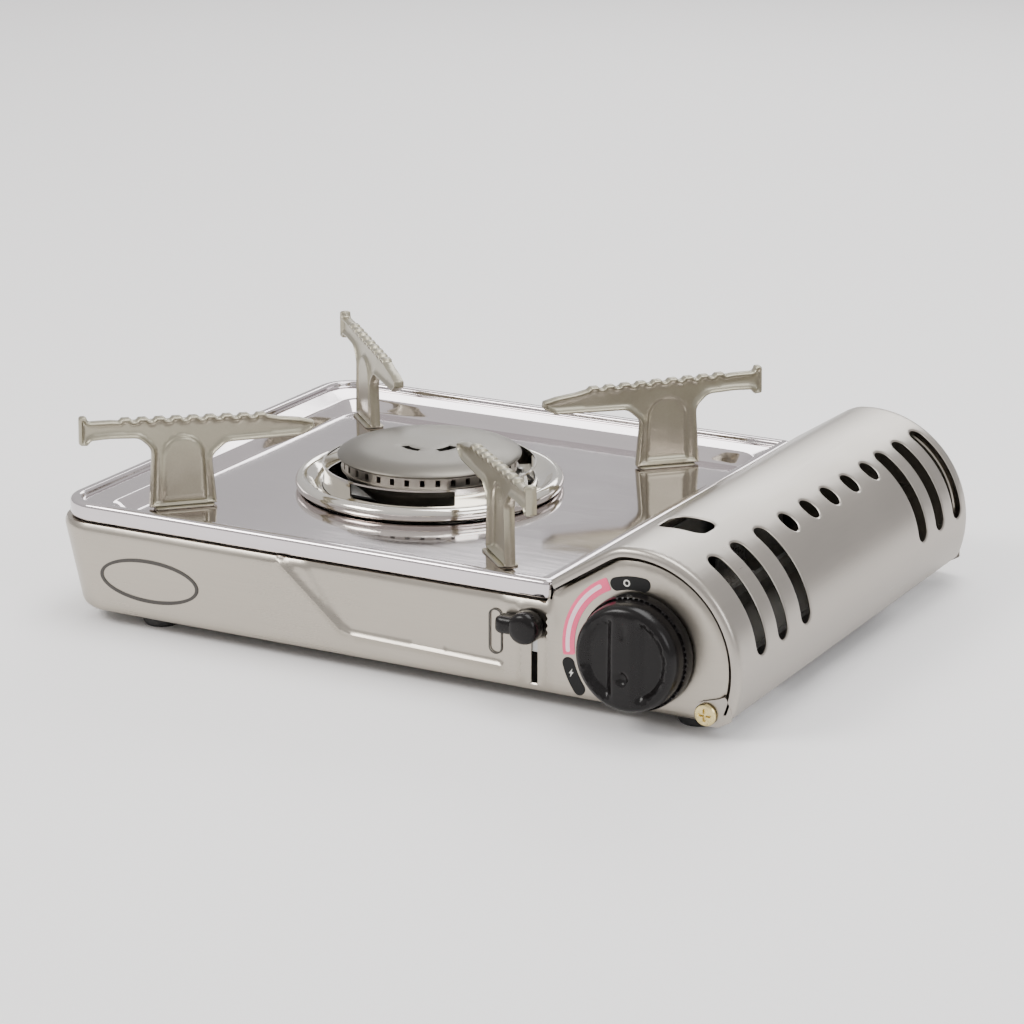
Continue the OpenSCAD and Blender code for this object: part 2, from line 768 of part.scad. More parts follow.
module lever_knob() color(black) {
    y1 = case_front - 0.8;
    difference() {
        union() {
            bar_y(lever_x - 1.5, y1 - 9, lever_z, 7, 9);
            block([lever_x - 15, y1 - 7.5, lever_z - 3.8], [lever_x - 1, y1 - 0.5, lever_z + 3.8]);
        }
        block([lever_x - 1.02, y1 - 2.6, lever_z - 3.02], [lever_x + 1.02, y1 + 1, lever_z + 3.02]);
    }
}

// Fork that draws the cartridge on to the regulator
module cartridge_clamp() color(zinc) {
    finger_y = lever_y + 11 - finger_r - 0.45;
    x_arm = bay_left + 3.2;
    bar_x(lever_x + 1.5, finger_y, finger_z, finger_r, x_arm - lever_x - 1);
    block([x_arm, finger_y - 1.5, finger_z - 2], [x_arm + 1.5, seat_y + 10, finger_z + 2]);
    difference() {
        block([x_arm, seat_y + 8.5, 12], [lid_x + 26, seat_y + 10, 40]);
        bar_y(lid_x, seat_y + 7, cartridge_z, 20, 5);
    }
}

// ---------- marks ----------

// Part of a ring on the front plate about the knob, a0 to a1 counter-clockwise
module dial_sector(r0, r1, a0, a1, thick) {
    translate([knob_x - 1.5, case_front, knob_z - 2.5]) rotate([90, 0, 0]) rotate(a0)
        linear_extrude(thick) difference() {
            intersection() {
                circle(r1, $fn = 96);
                square([2 * r1, 2 * r1]);
                rotate(a1 - a0 - 90) square([2 * r1, 2 * r1]);
            }
            circle(r0, $fn = 96);
        }
}

module dial_arc() color([0.93, 0.45, 0.55]) dial_sector(28.8, 34.4, 116, 189, 0.2);
module off_mark() color(black) dial_sector(27.8, 33.4, 82, 113, 0.2);
module light_mark() color(black) dial_sector(30.2, 35.6, 192, 220, 0.2);

module lever_mark() color([0.35, 0.34, 0.33]) {
    w = 3.2;
    upright(case_front - 0.15, 0.15)
        translate([lever_x - 18.3, 0]) difference() {
            round_rect(-w, w, 20, 40, 3);
            round_rect(-w + 0.6, w - 0.6, 20.6, 39.4, 2.5);
        }
}

module badge() color([0.5, 0.49, 0.47]) {
    upright(case_front - 0.3, 0.3)
        translate([left_x + 55, 24.5]) difference() {
            round_rect(-26, 26, -10, 10, 5);
            round_rect(-24.8, 24.8, -8.8, 8.8, 4);
        }
}

// ---------- fasteners and feet ----------

// Screws through the case's floor into the partition, the bracket and the rails
module case_screws() color(zinc) {
    for (p = concat(part_screws, bay_screws)) {
        translate([p[0], p[1], foot_h - 1.4]) cylinder(r = 3.2, h = 1.4);
        translate([p[0], p[1], foot_h]) cylinder(r = screw_r, h = 5.5);
    }
}

module foot(x, y) color(black) {
    translate([x, y, 0]) difference() {
        union() {
            cylinder(r1 = 7.6, r2 = 8.5, h = 1.5);
            translate([0, 0, 1.5]) cylinder(r = 8.5, h = foot_h - 1.5);
        }
        translate([0, 0, -1]) cylinder(r = 3.6, h = 4);
        translate([0, 0, 2]) cylinder(r = screw_hole, h = foot_h);
    }
}

module foot_1() foot(foot_x[0], foot_y[0]);
module foot_2() foot(foot_x[1], foot_y[0]);
module foot_3() foot(foot_x[0], foot_y[1]);
module foot_4() foot(foot_x[1], foot_y[1]);

module foot_screws() color(zinc) {
    for (x = foot_x, y = foot_y) {
        translate([x, y, 1.6]) cylinder(r = 3.2, h = 1.4);
        translate([x, y, 3]) cylinder(r = screw_r, h = foot_h);
    }
}

lower_case();
bay_tray();
bay_partition();
heat_panel();
cartridge_rails();
regulator_bracket();
regulator_body();
regulator_diaphragm();
regulator_cap();
inlet_seal();
notch_guide();
gas_tube();
gas_jet();
mixing_tube();
burner_bracket();
burner_bowl();
port_ring();
burner_cap();
burner_collar();
drip_ring();
piezo_igniter();
igniter_plunger();
igniter_cam();
ignition_wire();
electrode_bracket();
electrode_ceramic();
electrode_tip();
top_plate();
pan_support_1();
pan_support_2();
pan_support_3();
pan_support_4();
support_rivets();
lid();
hinge_screws();
gas_knob();
knob_spindle();
lever_plate();
lever_knob();
cartridge_clamp();
dial_arc();
off_mark();
light_mark();
lever_mark();
badge();
case_screws();
foot_1();
foot_2();
foot_3();
foot_4();
foot_screws();
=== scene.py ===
"""Looks of a single-burner camping stove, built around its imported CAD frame.

Lengths are in millimetres until a mesh is made, in the frame's own directions: X to the
right along the front, Y to the back and Z up.
"""

import json
import math

import bpy
import numpy as np
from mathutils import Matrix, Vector
from mathutils.geometry import delaunay_2d_cdt
from mathutils.kdtree import KDTree


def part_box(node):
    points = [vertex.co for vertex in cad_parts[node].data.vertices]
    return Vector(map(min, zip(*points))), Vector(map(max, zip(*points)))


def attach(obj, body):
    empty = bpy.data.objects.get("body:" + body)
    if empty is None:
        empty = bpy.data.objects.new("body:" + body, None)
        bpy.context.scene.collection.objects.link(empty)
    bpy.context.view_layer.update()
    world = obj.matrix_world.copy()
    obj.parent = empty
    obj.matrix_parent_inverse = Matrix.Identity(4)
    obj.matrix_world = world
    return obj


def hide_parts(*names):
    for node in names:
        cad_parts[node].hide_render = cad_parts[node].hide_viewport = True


MM = 0.001
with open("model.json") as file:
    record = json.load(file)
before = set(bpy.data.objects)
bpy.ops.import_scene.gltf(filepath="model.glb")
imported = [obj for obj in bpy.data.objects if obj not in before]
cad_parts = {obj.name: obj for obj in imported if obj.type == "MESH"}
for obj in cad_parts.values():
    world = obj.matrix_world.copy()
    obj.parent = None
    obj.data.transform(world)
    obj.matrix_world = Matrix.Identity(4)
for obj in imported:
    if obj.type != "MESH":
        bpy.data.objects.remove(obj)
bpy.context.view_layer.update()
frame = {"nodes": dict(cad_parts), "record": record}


def box_mm(node):
    """Lowest and highest corner of a CAD node in millimetres."""
    low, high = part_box(node)
    return np.array(low) / MM, np.array(high) / MM


# ---------- places taken from the CAD frame ----------

lid_low, lid_high = box_mm("lid")
case_low, case_high = box_mm("lower_case")
deck_low, deck_high = box_mm("top_plate")
cap_low, cap_high = box_mm("burner_cap")
ring_low, ring_high = box_mm("drip_ring")
collar_low, collar_high = box_mm("burner_collar")
ports_low, ports_high = box_mm("port_ring")
knob_low, knob_high = box_mm("gas_knob")
lever_low, lever_high = box_mm("lever_knob")
tip_low, tip_high = box_mm("electrode_ceramic")
screw_low, screw_high = box_mm("hinge_screws")
badge_low, badge_high = box_mm("badge")

SHEET = 0.8                      # thickness of the pressed sheet
LID_R = 48.0                     # radius of the lid's curve
LID_X, LID_Z = lid_high[0] - LID_R, lid_high[2] - LID_R
LID_SLOPE = 44.9                 # distance from the lid's axis to its slope
LID_END = 112.0                  # degrees past vertical
SLOPE = math.radians(32.8)       # pitch of the lid's slope
FRONT, BACK = lid_low[1], lid_high[1]
MID_Y = (FRONT + BACK) / 2
CASE_FRONT, CASE_BACK = case_low[1], case_high[1]
CASE_LEFT = case_low[0]
CASE_R = 20.0                    # plan radius of the case's corners
LEAN = 10.0                      # inward lean of the left wall
FLOOR_Z = case_low[2]
WALL_TOP = case_high[2]          # top of the case, under the rim
ARCH_R, ARCH_SLOPE = LID_R - 4.8, LID_R - 7.8
DECK_LEFT, DECK_RIGHT = deck_low[0], deck_high[0]
DECK_FRONT, DECK_BACK = deck_low[1], deck_high[1]
RIM_LOW, RIM_TOP, LEDGE_Z, DECK_Z = case_high[2], deck_high[2], 52.5, 47.0
BURNER_X, BURNER_Y = (cap_low[:2] + cap_high[:2]) / 2
KNOB_X, KNOB_Z = (knob_low[0] + knob_high[0]) / 2, (knob_low[2] + knob_high[2]) / 2
KNOB_R = (knob_high[0] - knob_low[0]) / 2
HINGE_X, HINGE_Z = (screw_low[0] + screw_high[0]) / 2, (screw_low[2] + screw_high[2]) / 2
SLOT_X, SLOT_LOW, SLOT_HIGH = 76.6, 10.0, 41.0
BAY_RIGHT = LID_X + 32.5


# ---------- outlines ----------

def unit(v):
    """The direction of v, with length 1."""
    return v / np.linalg.norm(v)


def rounded(corners, grow=0.0, closed=True, fine=12.0):
    """Polyline through (x, y, radius) corners. A closed one is counter-clockwise, and grow
    moves its sides outwards."""
    points = np.array([c[:2] for c in corners], float)
    count, out = len(points), []
    for i in range(count):
        if not closed and i in (0, count - 1):
            out.append(points[i])
            continue
        d1 = unit(points[i] - points[i - 1])
        d2 = unit(points[(i + 1) % count] - points[i])
        n1, n2 = np.array([d1[1], -d1[0]]), np.array([d2[1], -d2[0]])
        corner = points[i] + grow * (n1 + n2) / (1 + n1 @ n2)
        turn = math.atan2(d1[0] * d2[1] - d1[1] * d2[0], d1 @ d2)
        radius = corners[i][2] + (grow if turn > 0 else -grow)
        if radius <= 1e-6 or abs(turn) < 1e-4:
            out.append(corner)
            continue
        start = corner - d1 * radius * math.tan(abs(turn) / 2)
        centre = start - n1 * radius * math.copysign(1, turn)
        steps = max(1, math.ceil(abs(math.degrees(turn)) / fine))
        for k in range(steps + 1):
            a = turn * k / steps
            c, s = math.cos(a), math.sin(a)
            v = start - centre
            out.append(centre + [v[0] * c - v[1] * s, v[0] * s + v[1] * c])
    return np.array(out)


def rect(x0, x1, y0, y1, r):
    """Corners of a rectangle for rounded, all with radius r."""
    return [(x0, y0, r), (x1, y0, r), (x1, y1, r), (x0, y1, r)]


def circle(x, y, r, count=48):
    """Points round a circle, counter-clockwise."""
    a = np.arange(count) * 2 * math.pi / count
    return np.stack([x + r * np.cos(a), y + r * np.sin(a)], 1)


def resample(path, step, closed=True):
    """The same line with no stretch longer than step."""
    path = np.asarray(path, float)
    ends = np.roll(path, -1, 0) if closed else path[1:]
    out = []
    for a, b in zip(path, ends):
        count = max(1, math.ceil(np.linalg.norm(b - a) / step - 1e-6))
        out += [a + (b - a) * k / count for k in range(count)]
    if not closed:
        out.append(path[-1])
    return np.array(out)


def distance(points, path, closed=True):
    """Distance of each point from a line."""
    a = np.asarray(path, float)
    b = np.roll(a, -1, 0) if closed else a[1:]
    a = a[:len(b)]
    d = b - a
    length2 = np.maximum((d * d).sum(1), 1e-12)
    best = np.empty(len(points))
    for i in range(0, len(points), 3000):
        p = points[i:i + 3000, None, :] - a[None]
        t = np.clip((p * d).sum(2) / length2, 0, 1)
        best[i:i + 3000] = np.sqrt(((p - t[..., None] * d) ** 2).sum(2)).min(1)
    return best


def inside(points, loops):
    """Whether each point is inside the loops, by the number of crossings to its right."""
    result = np.zeros(len(points), bool)
    for loop in loops:
        a = np.asarray(loop, float)
        b = np.roll(a, -1, 0)
        for i in range(0, len(points), 3000):
            x, y = points[i:i + 3000, 0:1], points[i:i + 3000, 1:2]
            spans = (a[:, 1] > y) != (b[:, 1] > y)
            with np.errstate(divide="ignore", invalid="ignore"):
                cross = a[:, 0] + (y - a[:, 1]) / (b[:, 1] - a[:, 1]) * (b[:, 0] - a[:, 0])
            result[i:i + 3000] ^= ((spans & (x < cross)).sum(1) % 2).astype(bool)
    return result


def depth(points, loop):
    """Distance from a closed line, positive inside it."""
    return np.where(inside(points, [loop]), 1.0, -1.0) * distance(points, loop)


def ease(t):
    """Smooth step from 0 to 1."""
    t = np.clip(t, 0, 1)
    return t * t * (3 - 2 * t)


def quarter(t):
    """Drop of a quarter round: 1 at its edge t = 0, and 0 from t = 1."""
    t = np.clip(t, 0, 1)
    return 1 - np.sqrt(np.clip(1 - (1 - t) ** 2, 0, 1))


# ---------- meshes ----------

def panel(outline, holes=(), lines=(), step=2.0, hole_step=None):
    """Triangles that fill an outline around its holes, with edges along the lines."""
    hole_step = hole_step or step
    rims = [resample(outline, step)] + [resample(h, hole_step) for h in holes]
    paths = [(r, True) for r in rims]
    paths += [(resample(p, step, c), c) for p, c in lines]
    points, edges = [], []
    for path, closed in paths:
        first = len(points)
        points += [tuple(p) for p in path]
        edges += [(first + i, first + i + 1) for i in range(len(path) - 1)]
        if closed:
            edges.append((len(points) - 1, first))
    tree = KDTree(len(points))
    for i, p in enumerate(points):
        tree.insert((p[0], p[1], 0), i)
    tree.balance()
    low, high = rims[0].min(0), rims[0].max(0)
    rows = np.arange(low[1] + step / 2, high[1], step * 0.866)
    grid = [(x, y) for k, y in enumerate(rows)
            for x in np.arange(low[0] + step * (0.3 + 0.5 * (k % 2)), high[0], step)]
    grid = np.array(grid)
    grid = grid[inside(grid, [outline, *holes])]
    points += [tuple(p) for p in grid if tree.find((p[0], p[1], 0))[2] > 0.62 * step]
    made = delaunay_2d_cdt([Vector(p) for p in points], edges, [], 0, 1e-7)
    flat = np.array([(v[0], v[1]) for v in made[0]])
    tris = np.array([f for f in made[2] if len(f) == 3])
    tris = tris[inside(flat[tris].mean(1), [outline, *holes])]
    used, tris = np.unique(tris, return_inverse=True)
    return flat[used], tris.reshape(-1, 3)


def normals_of(points, faces):
    """Normal of each point, from the faces that meet there."""
    out = np.zeros_like(points)
    for size in {len(f) for f in faces}:
        f = np.array([x for x in faces if len(x) == size])
        n = np.cross(points[f[:, 1]] - points[f[:, 0]], points[f[:, -1]] - points[f[:, 0]])
        if size == 4:
            n = np.cross(points[f[:, 2]] - points[f[:, 0]], points[f[:, 3]] - points[f[:, 1]])
        for k in range(size):
            np.add.at(out, f[:, k], n)
    return out / np.maximum(np.linalg.norm(out, axis=1, keepdims=True), 1e-12)


def weld(points, faces):
    """Joins points at the same place and drops faces left without area."""
    points = np.asarray(points, float)
    _, first, back = np.unique(np.round(points, 4), axis=0, return_index=True,
                               return_inverse=True)
    back = np.ravel(back)
    kept = []
    for f in faces:
        g = [int(back[i]) for i in f]
        g = [v for i, v in enumerate(g) if v != g[i - 1]]
        if len(set(g)) > 2:
            kept.append(tuple(g))
    return points[first], kept


def thicken(points, faces, thick):
    """A closed shell between a surface and its copy moved back along its normals."""
    points, faces = weld(points, faces)
    back = points - normals_of(points, faces) * thick
    n = len(points)
    edges = dict.fromkeys((a, b) for f in faces for a, b in zip(f, f[1:] + f[:1]))
    open_edges = [(a, b) for a, b in edges if (b, a) not in edges]
    shell = list(faces) + [tuple(n + i for i in reversed(f)) for f in faces]
    shell += [(b, a, n + a, n + b) for a, b in open_edges]
    return np.vstack([points, back]), shell


def loft(loops, closed=True):
    """Quads between loops that have the same number of points."""
    n, faces = len(loops[0]), []
    for k in range(len(loops) - 1):
        for i in range(n if closed else n - 1):
            j = (i + 1) % n
            faces.append((k * n + i, k * n + j, (k + 1) * n + j, (k + 1) * n + i))
    return np.vstack(loops), faces


def capped(loops):
    """Loft with a face over its last loop and one over its first."""
    points, faces = loft(loops)
    m = len(loops[0])
    faces += [tuple(range(len(points) - m, len(points))), tuple(range(m - 1, -1, -1))]
    return points, faces


def lathe(profile, count=128):
    """Turns a profile of (radius, height) about Z, with the outside on its right."""
    a = np.arange(count) * 2 * math.pi / count
    loops = [np.stack([r * np.cos(a), r * np.sin(a), np.full(count, h)], 1)
             for r, h in profile]
    return weld(*loft(loops))


def facing_front(points, x, y, z):
    """Turns a shape made about Z so that its top faces the front, at (x, y, z)."""
    p = np.asarray(points)
    return np.stack([x + p[:, 0], y - p[:, 2], z + p[:, 1]], 1)


def merge(*shapes):
    """One shape from several, with their faces renumbered."""
    points, faces, first = [], [], 0
    for p, f in shapes:
        points.append(p)
        faces += [tuple(first + i for i in face) for face in f]
        first += len(p)
    return np.vstack(points), faces


def piece(name, shape, material, body, replaces=(), angle=32.0):
    """A mesh piece that rides on a CAD body."""
    points, faces = shape
    mesh = bpy.data.meshes.new(name)
    mesh.from_pydata((np.asarray(points) * MM).tolist(), [], [tuple(f) for f in faces])
    mesh.validate()
    mesh.shade_smooth()
    mesh.set_sharp_from_angle(angle=math.radians(angle))
    mesh.materials.append(material)
    obj = bpy.data.objects.new(name, mesh)
    bpy.context.scene.collection.objects.link(obj)
    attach(obj, body)
    if replaces:
        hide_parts(*replaces)
    return obj


# ---------- materials ----------

def new_node(nodes, kind, **inputs):
    """A shader node with constants on its inputs."""
    made = nodes.new("ShaderNode" + kind)
    for socket, value in inputs.items():
        made.inputs[socket.replace("_", " ")].default_value = value
    return made


def set_ramp(ramp, *stops):
    """Position and colour of both ends of a colour ramp."""
    for element, (position, colour) in zip(ramp.color_ramp.elements, stops):
        element.position = position
        element.color = (*colour, 1)


def material(name, colour, metallic=0.0, roughness=0.4, spread=0.06, rough_spread=0.08,
             blotch=45.0, grain=900.0, bump=0.0, stretch=(1, 1, 1), **sockets):
    """Procedural finish: broad blotches tint the colour, and a fine grain, stretched along a
    direction for brushed metal, varies the roughness and the bump."""
    made = bpy.data.materials.new(name)
    made.use_nodes = True
    nodes, links = made.node_tree.nodes, made.node_tree.links
    shader = nodes["Principled BSDF"]
    place = new_node(nodes, "TexCoord").outputs["Object"]
    wide = new_node(nodes, "TexNoise", Scale=blotch, Detail=4)
    links.new(place, wide.inputs["Vector"])
    scaled = new_node(nodes, "Mapping", Scale=stretch)
    links.new(place, scaled.inputs["Vector"])
    fine = new_node(nodes, "TexNoise", Scale=grain, Detail=3)
    links.new(scaled.outputs[0], fine.inputs["Vector"])
    both = nodes.new("ShaderNodeMix")
    both.data_type = "FLOAT"
    both.inputs["Factor"].default_value = 0.4
    links.new(wide.outputs["Fac"], both.inputs["A"])
    links.new(fine.outputs["Fac"], both.inputs["B"])
    ramp = new_node(nodes, "ValToRGB")
    dark = [max(0.0, c * (1 - spread * 2)) for c in colour]
    light = [min(1.0, c * (1 + spread)) for c in colour]
    set_ramp(ramp, (0.3, dark), (0.7, light))
    links.new(both.outputs[0], ramp.inputs["Fac"])
    links.new(ramp.outputs["Color"], shader.inputs["Base Color"])
    gloss = new_node(nodes, "MapRange", From_Min=0.3, From_Max=0.7,
                     To_Min=max(0.02, roughness - rough_spread),
                     To_Max=roughness + rough_spread)
    links.new(both.outputs[0], gloss.inputs["Value"])
    links.new(gloss.outputs[0], shader.inputs["Roughness"])
    if bump:
        rise = new_node(nodes, "Bump", Strength=bump, Distance=0.2 * MM)
        links.new(fine.outputs["Fac"], rise.inputs["Height"])
        links.new(rise.outputs[0], shader.inputs["Normal"])
    shader.inputs["Metallic"].default_value = metallic
    for socket, value in sockets.items():
        shader.inputs[socket.replace("_", " ")].default_value = value
    return made


CASE_STEEL = material("satin_steel_case", (0.42, 0.385, 0.33), 1, 0.3, 0.03, 0.05,
                      blotch=14, grain=700, bump=0.05, stretch=(0.06, 1, 1.6))
# painted shade: the case's floor steel is coloured far darker than the case's own steel, standing
# in for the shadow inside the closed case
SHADE_DARKENED_FLOOR_STEEL = material("floor_steel_painted_shade", (0.2, 0.19, 0.17), 1, 0.42, 0.05, 0.06,
                       blotch=20, grain=700, bump=0.05)
LID_STEEL = material("satin_steel_lid", (0.4, 0.37, 0.33), 1, 0.31, 0.03, 0.05,
                     blotch=14, grain=700, bump=0.05, stretch=(1, 0.06, 1))
DECK_STEEL = material("polished_steel_deck", (0.62, 0.575, 0.585), 1, 0.07, 0.02, 0.03,
                      blotch=18, grain=500, bump=0.02, stretch=(0.1, 1, 1))
CHROME = material("bright_drip_ring", (0.72, 0.69, 0.63), 1, 0.1, 0.02, 0.04,
                  blotch=30, grain=300)
CAP_METAL = material("satin_cap", (0.19, 0.178, 0.155), 1, 0.4, 0.05, 0.07,
                     blotch=40, grain=1500, bump=0.1)
BURNER_METAL = material("burner_metal", (0.42, 0.39, 0.35), 1, 0.34, 0.06, 0.08,
                        blotch=60, grain=1200, bump=0.1)
SUPPORT_METAL = material("support_nickel", (0.35, 0.325, 0.25), 0.85, 0.34, 0.05, 0.07,
                         blotch=60, grain=900, bump=0.14)
ZINC = material("zinc_plate", (0.44, 0.445, 0.435), 1, 0.4, 0.09, 0.1,
                blotch=90, grain=800, bump=0.08)
ALUMINIUM = material("bright_aluminium", (0.8, 0.8, 0.79), 1, 0.3, 0.04, 0.08,
                     blotch=50, grain=700, bump=0.06)
BRASS = material("turned_brass", (0.76, 0.57, 0.27), 1, 0.28, 0.06, 0.06,
                 blotch=90, grain=900, bump=0.05)
YELLOW_ZINC = material("yellow_zinc", (0.75, 0.62, 0.3), 1, 0.28, 0.14, 0.08,
                       blotch=260, grain=900, bump=0.05)
BLACK = material("black_plastic", (0.007, 0.006, 0.006), 0, 0.24, 0.2, 0.05,
                 blotch=60, grain=1500, bump=0.06, Specular_IOR_Level=0.22)
WHITE = material("white_plastic", (0.75, 0.74, 0.69), 0, 0.4, 0.04, 0.06,
                 blotch=60, grain=1500, bump=0.05)
RED_WIRE = material("red_insulation", (0.55, 0.05, 0.03), 0, 0.4, 0.08, 0.06,
                    blotch=80, grain=1500, bump=0.04)
CERAMIC = material("glazed_ceramic", (0.83, 0.81, 0.75), 0, 0.22, 0.04, 0.06,
                   blotch=150, grain=1200, bump=0.04)
RUBBER = material("black_rubber", (0.03, 0.03, 0.03), 0, 0.65, 0.2, 0.1,
                  blotch=120, grain=2500, bump=0.3)
PINK = material("pink_mark", (1.0, 0.14, 0.27), 0, 0.4, 0.04, 0.05,
                blotch=60, grain=900, Specular_IOR_Level=0.2)
# painted highlight: a pale pink laid over the pink mark stands in for its shine
PINK_PAINTED_HIGHLIGHT = material("pink_mark_painted_highlight", (1.0, 0.74, 0.8), 0, 0.4, 0.03, 0.05,
                     blotch=60, grain=900, Specular_IOR_Level=0.2)
INK_BLACK = material("black_mark", (0.01, 0.01, 0.01), 0, 0.4, 0.1, 0.05,
                     blotch=60, grain=900, Specular_IOR_Level=0.2)
INK_GREY = material("grey_mark", (0.05, 0.045, 0.04), 0.2, 0.4, 0.1, 0.05,
                    blotch=60, grain=900)


# ---------- case ----------

CORNER = CASE_R * math.pi / 2                    # arc length of a plan corner
SIDE = CASE_BACK - CASE_FRONT - 2 * CASE_R
U_FRONT = CASE_LEFT + CASE_R                     # where the front's straight part ends
U_BACK = U_FRONT - 2 * CORNER - SIDE
U_MIDDLE = (U_FRONT + U_BACK) / 2
BEND = 3.4                                       # bend radius at the case's floor
BEND_LENGTH = BEND * math.pi / 2
BEND_TOP = FLOOR_Z + BEND
SHOULDER = 2.7                                   # how far the shoulder steps inwards
SHOULDER_Z = WALL_TOP - 0.6
FLANGE_X = 82.2                                  # right end of the flange
FAR = 900                                        # well past the case's edges
STEP_X = 84.5                                    # the shoulder rises here, beside the rim
FLANGE = 4.5                                     # reach of the flange under the rim


def arch_corners(r, slope_d, bottom):
    """Right side and slope of the arch plate, from the bottom up and to the left."""
    low = -math.degrees(math.asin((LID_Z - bottom) / r))
    meet = 90 + math.degrees(SLOPE) - math.degrees(math.acos(slope_d / r))
    angles = np.radians(np.linspace(low, meet, 40))
    corners = [(LID_X + r * math.cos(a), LID_Z + r * math.sin(a), 0) for a in angles]
    corners[-1] = (*corners[-1][:2], 6)
    return corners


def mirrored(points):
    """The same outline on the rear of the case, still counter-clockwise."""
    p = np.asarray(points, float)[::-1].copy()
    p[:, 0] = 2 * U_MIDDLE - p[:, 0]
    return p


right_side = arch_corners(ARCH_R, ARCH_SLOPE, FLOOR_Z)
arch_foot = right_side[0][0]
slope_end = LID_Z + (ARCH_SLOPE + math.sin(SLOPE) * (STEP_X - LID_X)) / math.cos(SLOPE)
front_half = rounded([(U_MIDDLE, 0, 0), (arch_foot, 0, 0), *right_side, (STEP_X, slope_end, 0),
                      (STEP_X, SHOULDER_Z + 1, 0), (FLANGE_X, SHOULDER_Z + 1, 0),
                      (FLANGE_X, SHOULDER_Z + FLANGE, 0), (U_MIDDLE, SHOULDER_Z + FLANGE, 0)])
case_outline = np.vstack([front_half[:-1], mirrored(front_half)[1:]])


def shoulder_corners(left):
    """Corners of the case's front below its shoulder, as far as left."""
    return [(left, -60, 0), (arch_foot, -60, 0), *right_side, (STEP_X, slope_end, 1.5),
            (STEP_X, SHOULDER_Z, 3.8), (left, SHOULDER_Z, 0)]


shoulder_front = rounded(shoulder_corners(U_MIDDLE - FAR))
fold = rounded([(-48.5, 44.2, 0), (-43, 39.8, 3), (-17.5, 18.4, 3), (-12, 16.9, 0), (61, 15.4, 0)],
               closed=False)
slot_loop = rounded(rect(SLOT_X - 1.5, SLOT_X + 1.5, SLOT_LOW, SLOT_HIGH, 0.6))
ridges = [rounded([(x, 12, 0), (x, 42, 0)], closed=False) for x in (SLOT_X - 6.2, SLOT_X + 6.6)]


def case_relief(p):
    """How far the case's skin stands out of its plane."""
    q = p.copy()
    rear = q[:, 0] < U_MIDDLE
    q[rear, 0] = 2 * U_MIDDLE - q[rear, 0]
    out = -SHOULDER * quarter(depth(q, shoulder_front) / 4.2)
    front = ~rear
    f = p[front]
    d = distance(f, fold, closed=False)
    above = ease((1.6 + np.where(f[:, 0] < -12,
                                 (f[:, 1] - 17) * 0.62 + (f[:, 0] + 14) * 0.78,
                                 f[:, 1] - 17 + 0.02 * (f[:, 0] + 12))) / 3.2)
    panel_in = above * ease((64.0 - f[:, 0]) / 5) * ease((46.6 - f[:, 1]) / 3)
    breadth = 1.15 + 0.45 * ease((-10 - f[:, 0]) / 6)
    lift = 0.95 * np.exp(-(d / breadth) ** 2) - 0.6 * panel_in
    for ridge in ridges:
        lift += 1.2 * np.exp(-(distance(f, ridge, closed=False) / 1.1) ** 2)
    lift -= 0.5 * quarter(-depth(f, slot_loop) / 1.2)
    out[front] += lift
    return out


def case_place(p, lift):
    """Wraps the unrolled case round its plan outline, with the bend at its foot."""
    u, v = p[:, 0], p[:, 1]
    along = np.clip(BEND_TOP - v, 0, None)
    a = np.clip(along / BEND, 0, math.pi / 2)
    z = np.where(along > 0, BEND_TOP - BEND * np.sin(a), v)
    flange_end = FLANGE_X - 0.1
    over = (np.clip(v - SHOULDER_Z, 0, None) * (u < flange_end)
            * (u > 2 * U_MIDDLE - flange_end))
    z = z - over
    inset = BEND * (1 - np.cos(a)) + np.clip(along - BEND_LENGTH, 0, None) + over - lift
    reach = CASE_R - inset
    x, y, rear = u.copy(), CASE_FRONT + inset, 2 * U_MIDDLE - u
    back = u < U_BACK
    x[back], y[back] = rear[back], (CASE_BACK - inset)[back]
    cx, cy = CASE_LEFT + CASE_R, CASE_FRONT + CASE_R
    turn = (u < U_FRONT) & (u >= U_FRONT - CORNER)
    t = (U_FRONT - u) / CASE_R
    x[turn], y[turn] = (cx - reach * np.sin(t))[turn], (cy - reach * np.cos(t))[turn]
    side = (u < U_FRONT - CORNER) & (u >= U_BACK + CORNER)
    x[side] = (CASE_LEFT + inset)[side]
    y[side] = (cy + U_FRONT - CORNER - u)[side]
    turn = (u < U_BACK + CORNER) & (u >= U_BACK)
    t = (u - U_BACK) / CASE_R
    cy = CASE_BACK - CASE_R
    x[turn], y[turn] = (cx - reach * np.sin(t))[turn], (cy + reach * np.cos(t))[turn]
    share = np.clip((WALL_TOP - z) / (WALL_TOP - FLOOR_Z), 0, 1)
    weight = np.clip((-58 - x) / (-58 - U_FRONT), 0, 1)
    return np.stack([x + LEAN * share * weight, y, z], 1)


holes = [slot_loop, circle(KNOB_X, KNOB_Z, 6), circle(HINGE_X, HINGE_Z, 2.2, 24),
         mirrored(circle(HINGE_X, HINGE_Z, 2.2, 24))]
lines = [(np.array([[2 * U_MIDDLE - arch_foot + 1, z], [arch_foot - 1, z]]), False)
         for z in (BEND_TOP, BEND_TOP - BEND_LENGTH * 0.33, BEND_TOP - BEND_LENGTH * 0.66,
                   BEND_TOP - BEND_LENGTH)]
for grow in (-1.0, -2.2):
    edge = rounded(shoulder_corners(U_MIDDLE - 40), grow=grow)
    edge = edge[(edge[:, 1] > BEND_TOP + 1) & (edge[:, 0] > U_MIDDLE)]
    lines += [(edge, False), (mirrored(edge), False)]
for shift in (-2.0, -1.0, 0.0, 1.0, 2.0):
    lines.append((fold + np.array([0.78, 0.62]) * shift, False))
flat, tris = panel(case_outline, holes, lines, step=1.8, hole_step=1.2)
shell = thicken(case_place(flat, case_relief(flat)), tris, SHEET)

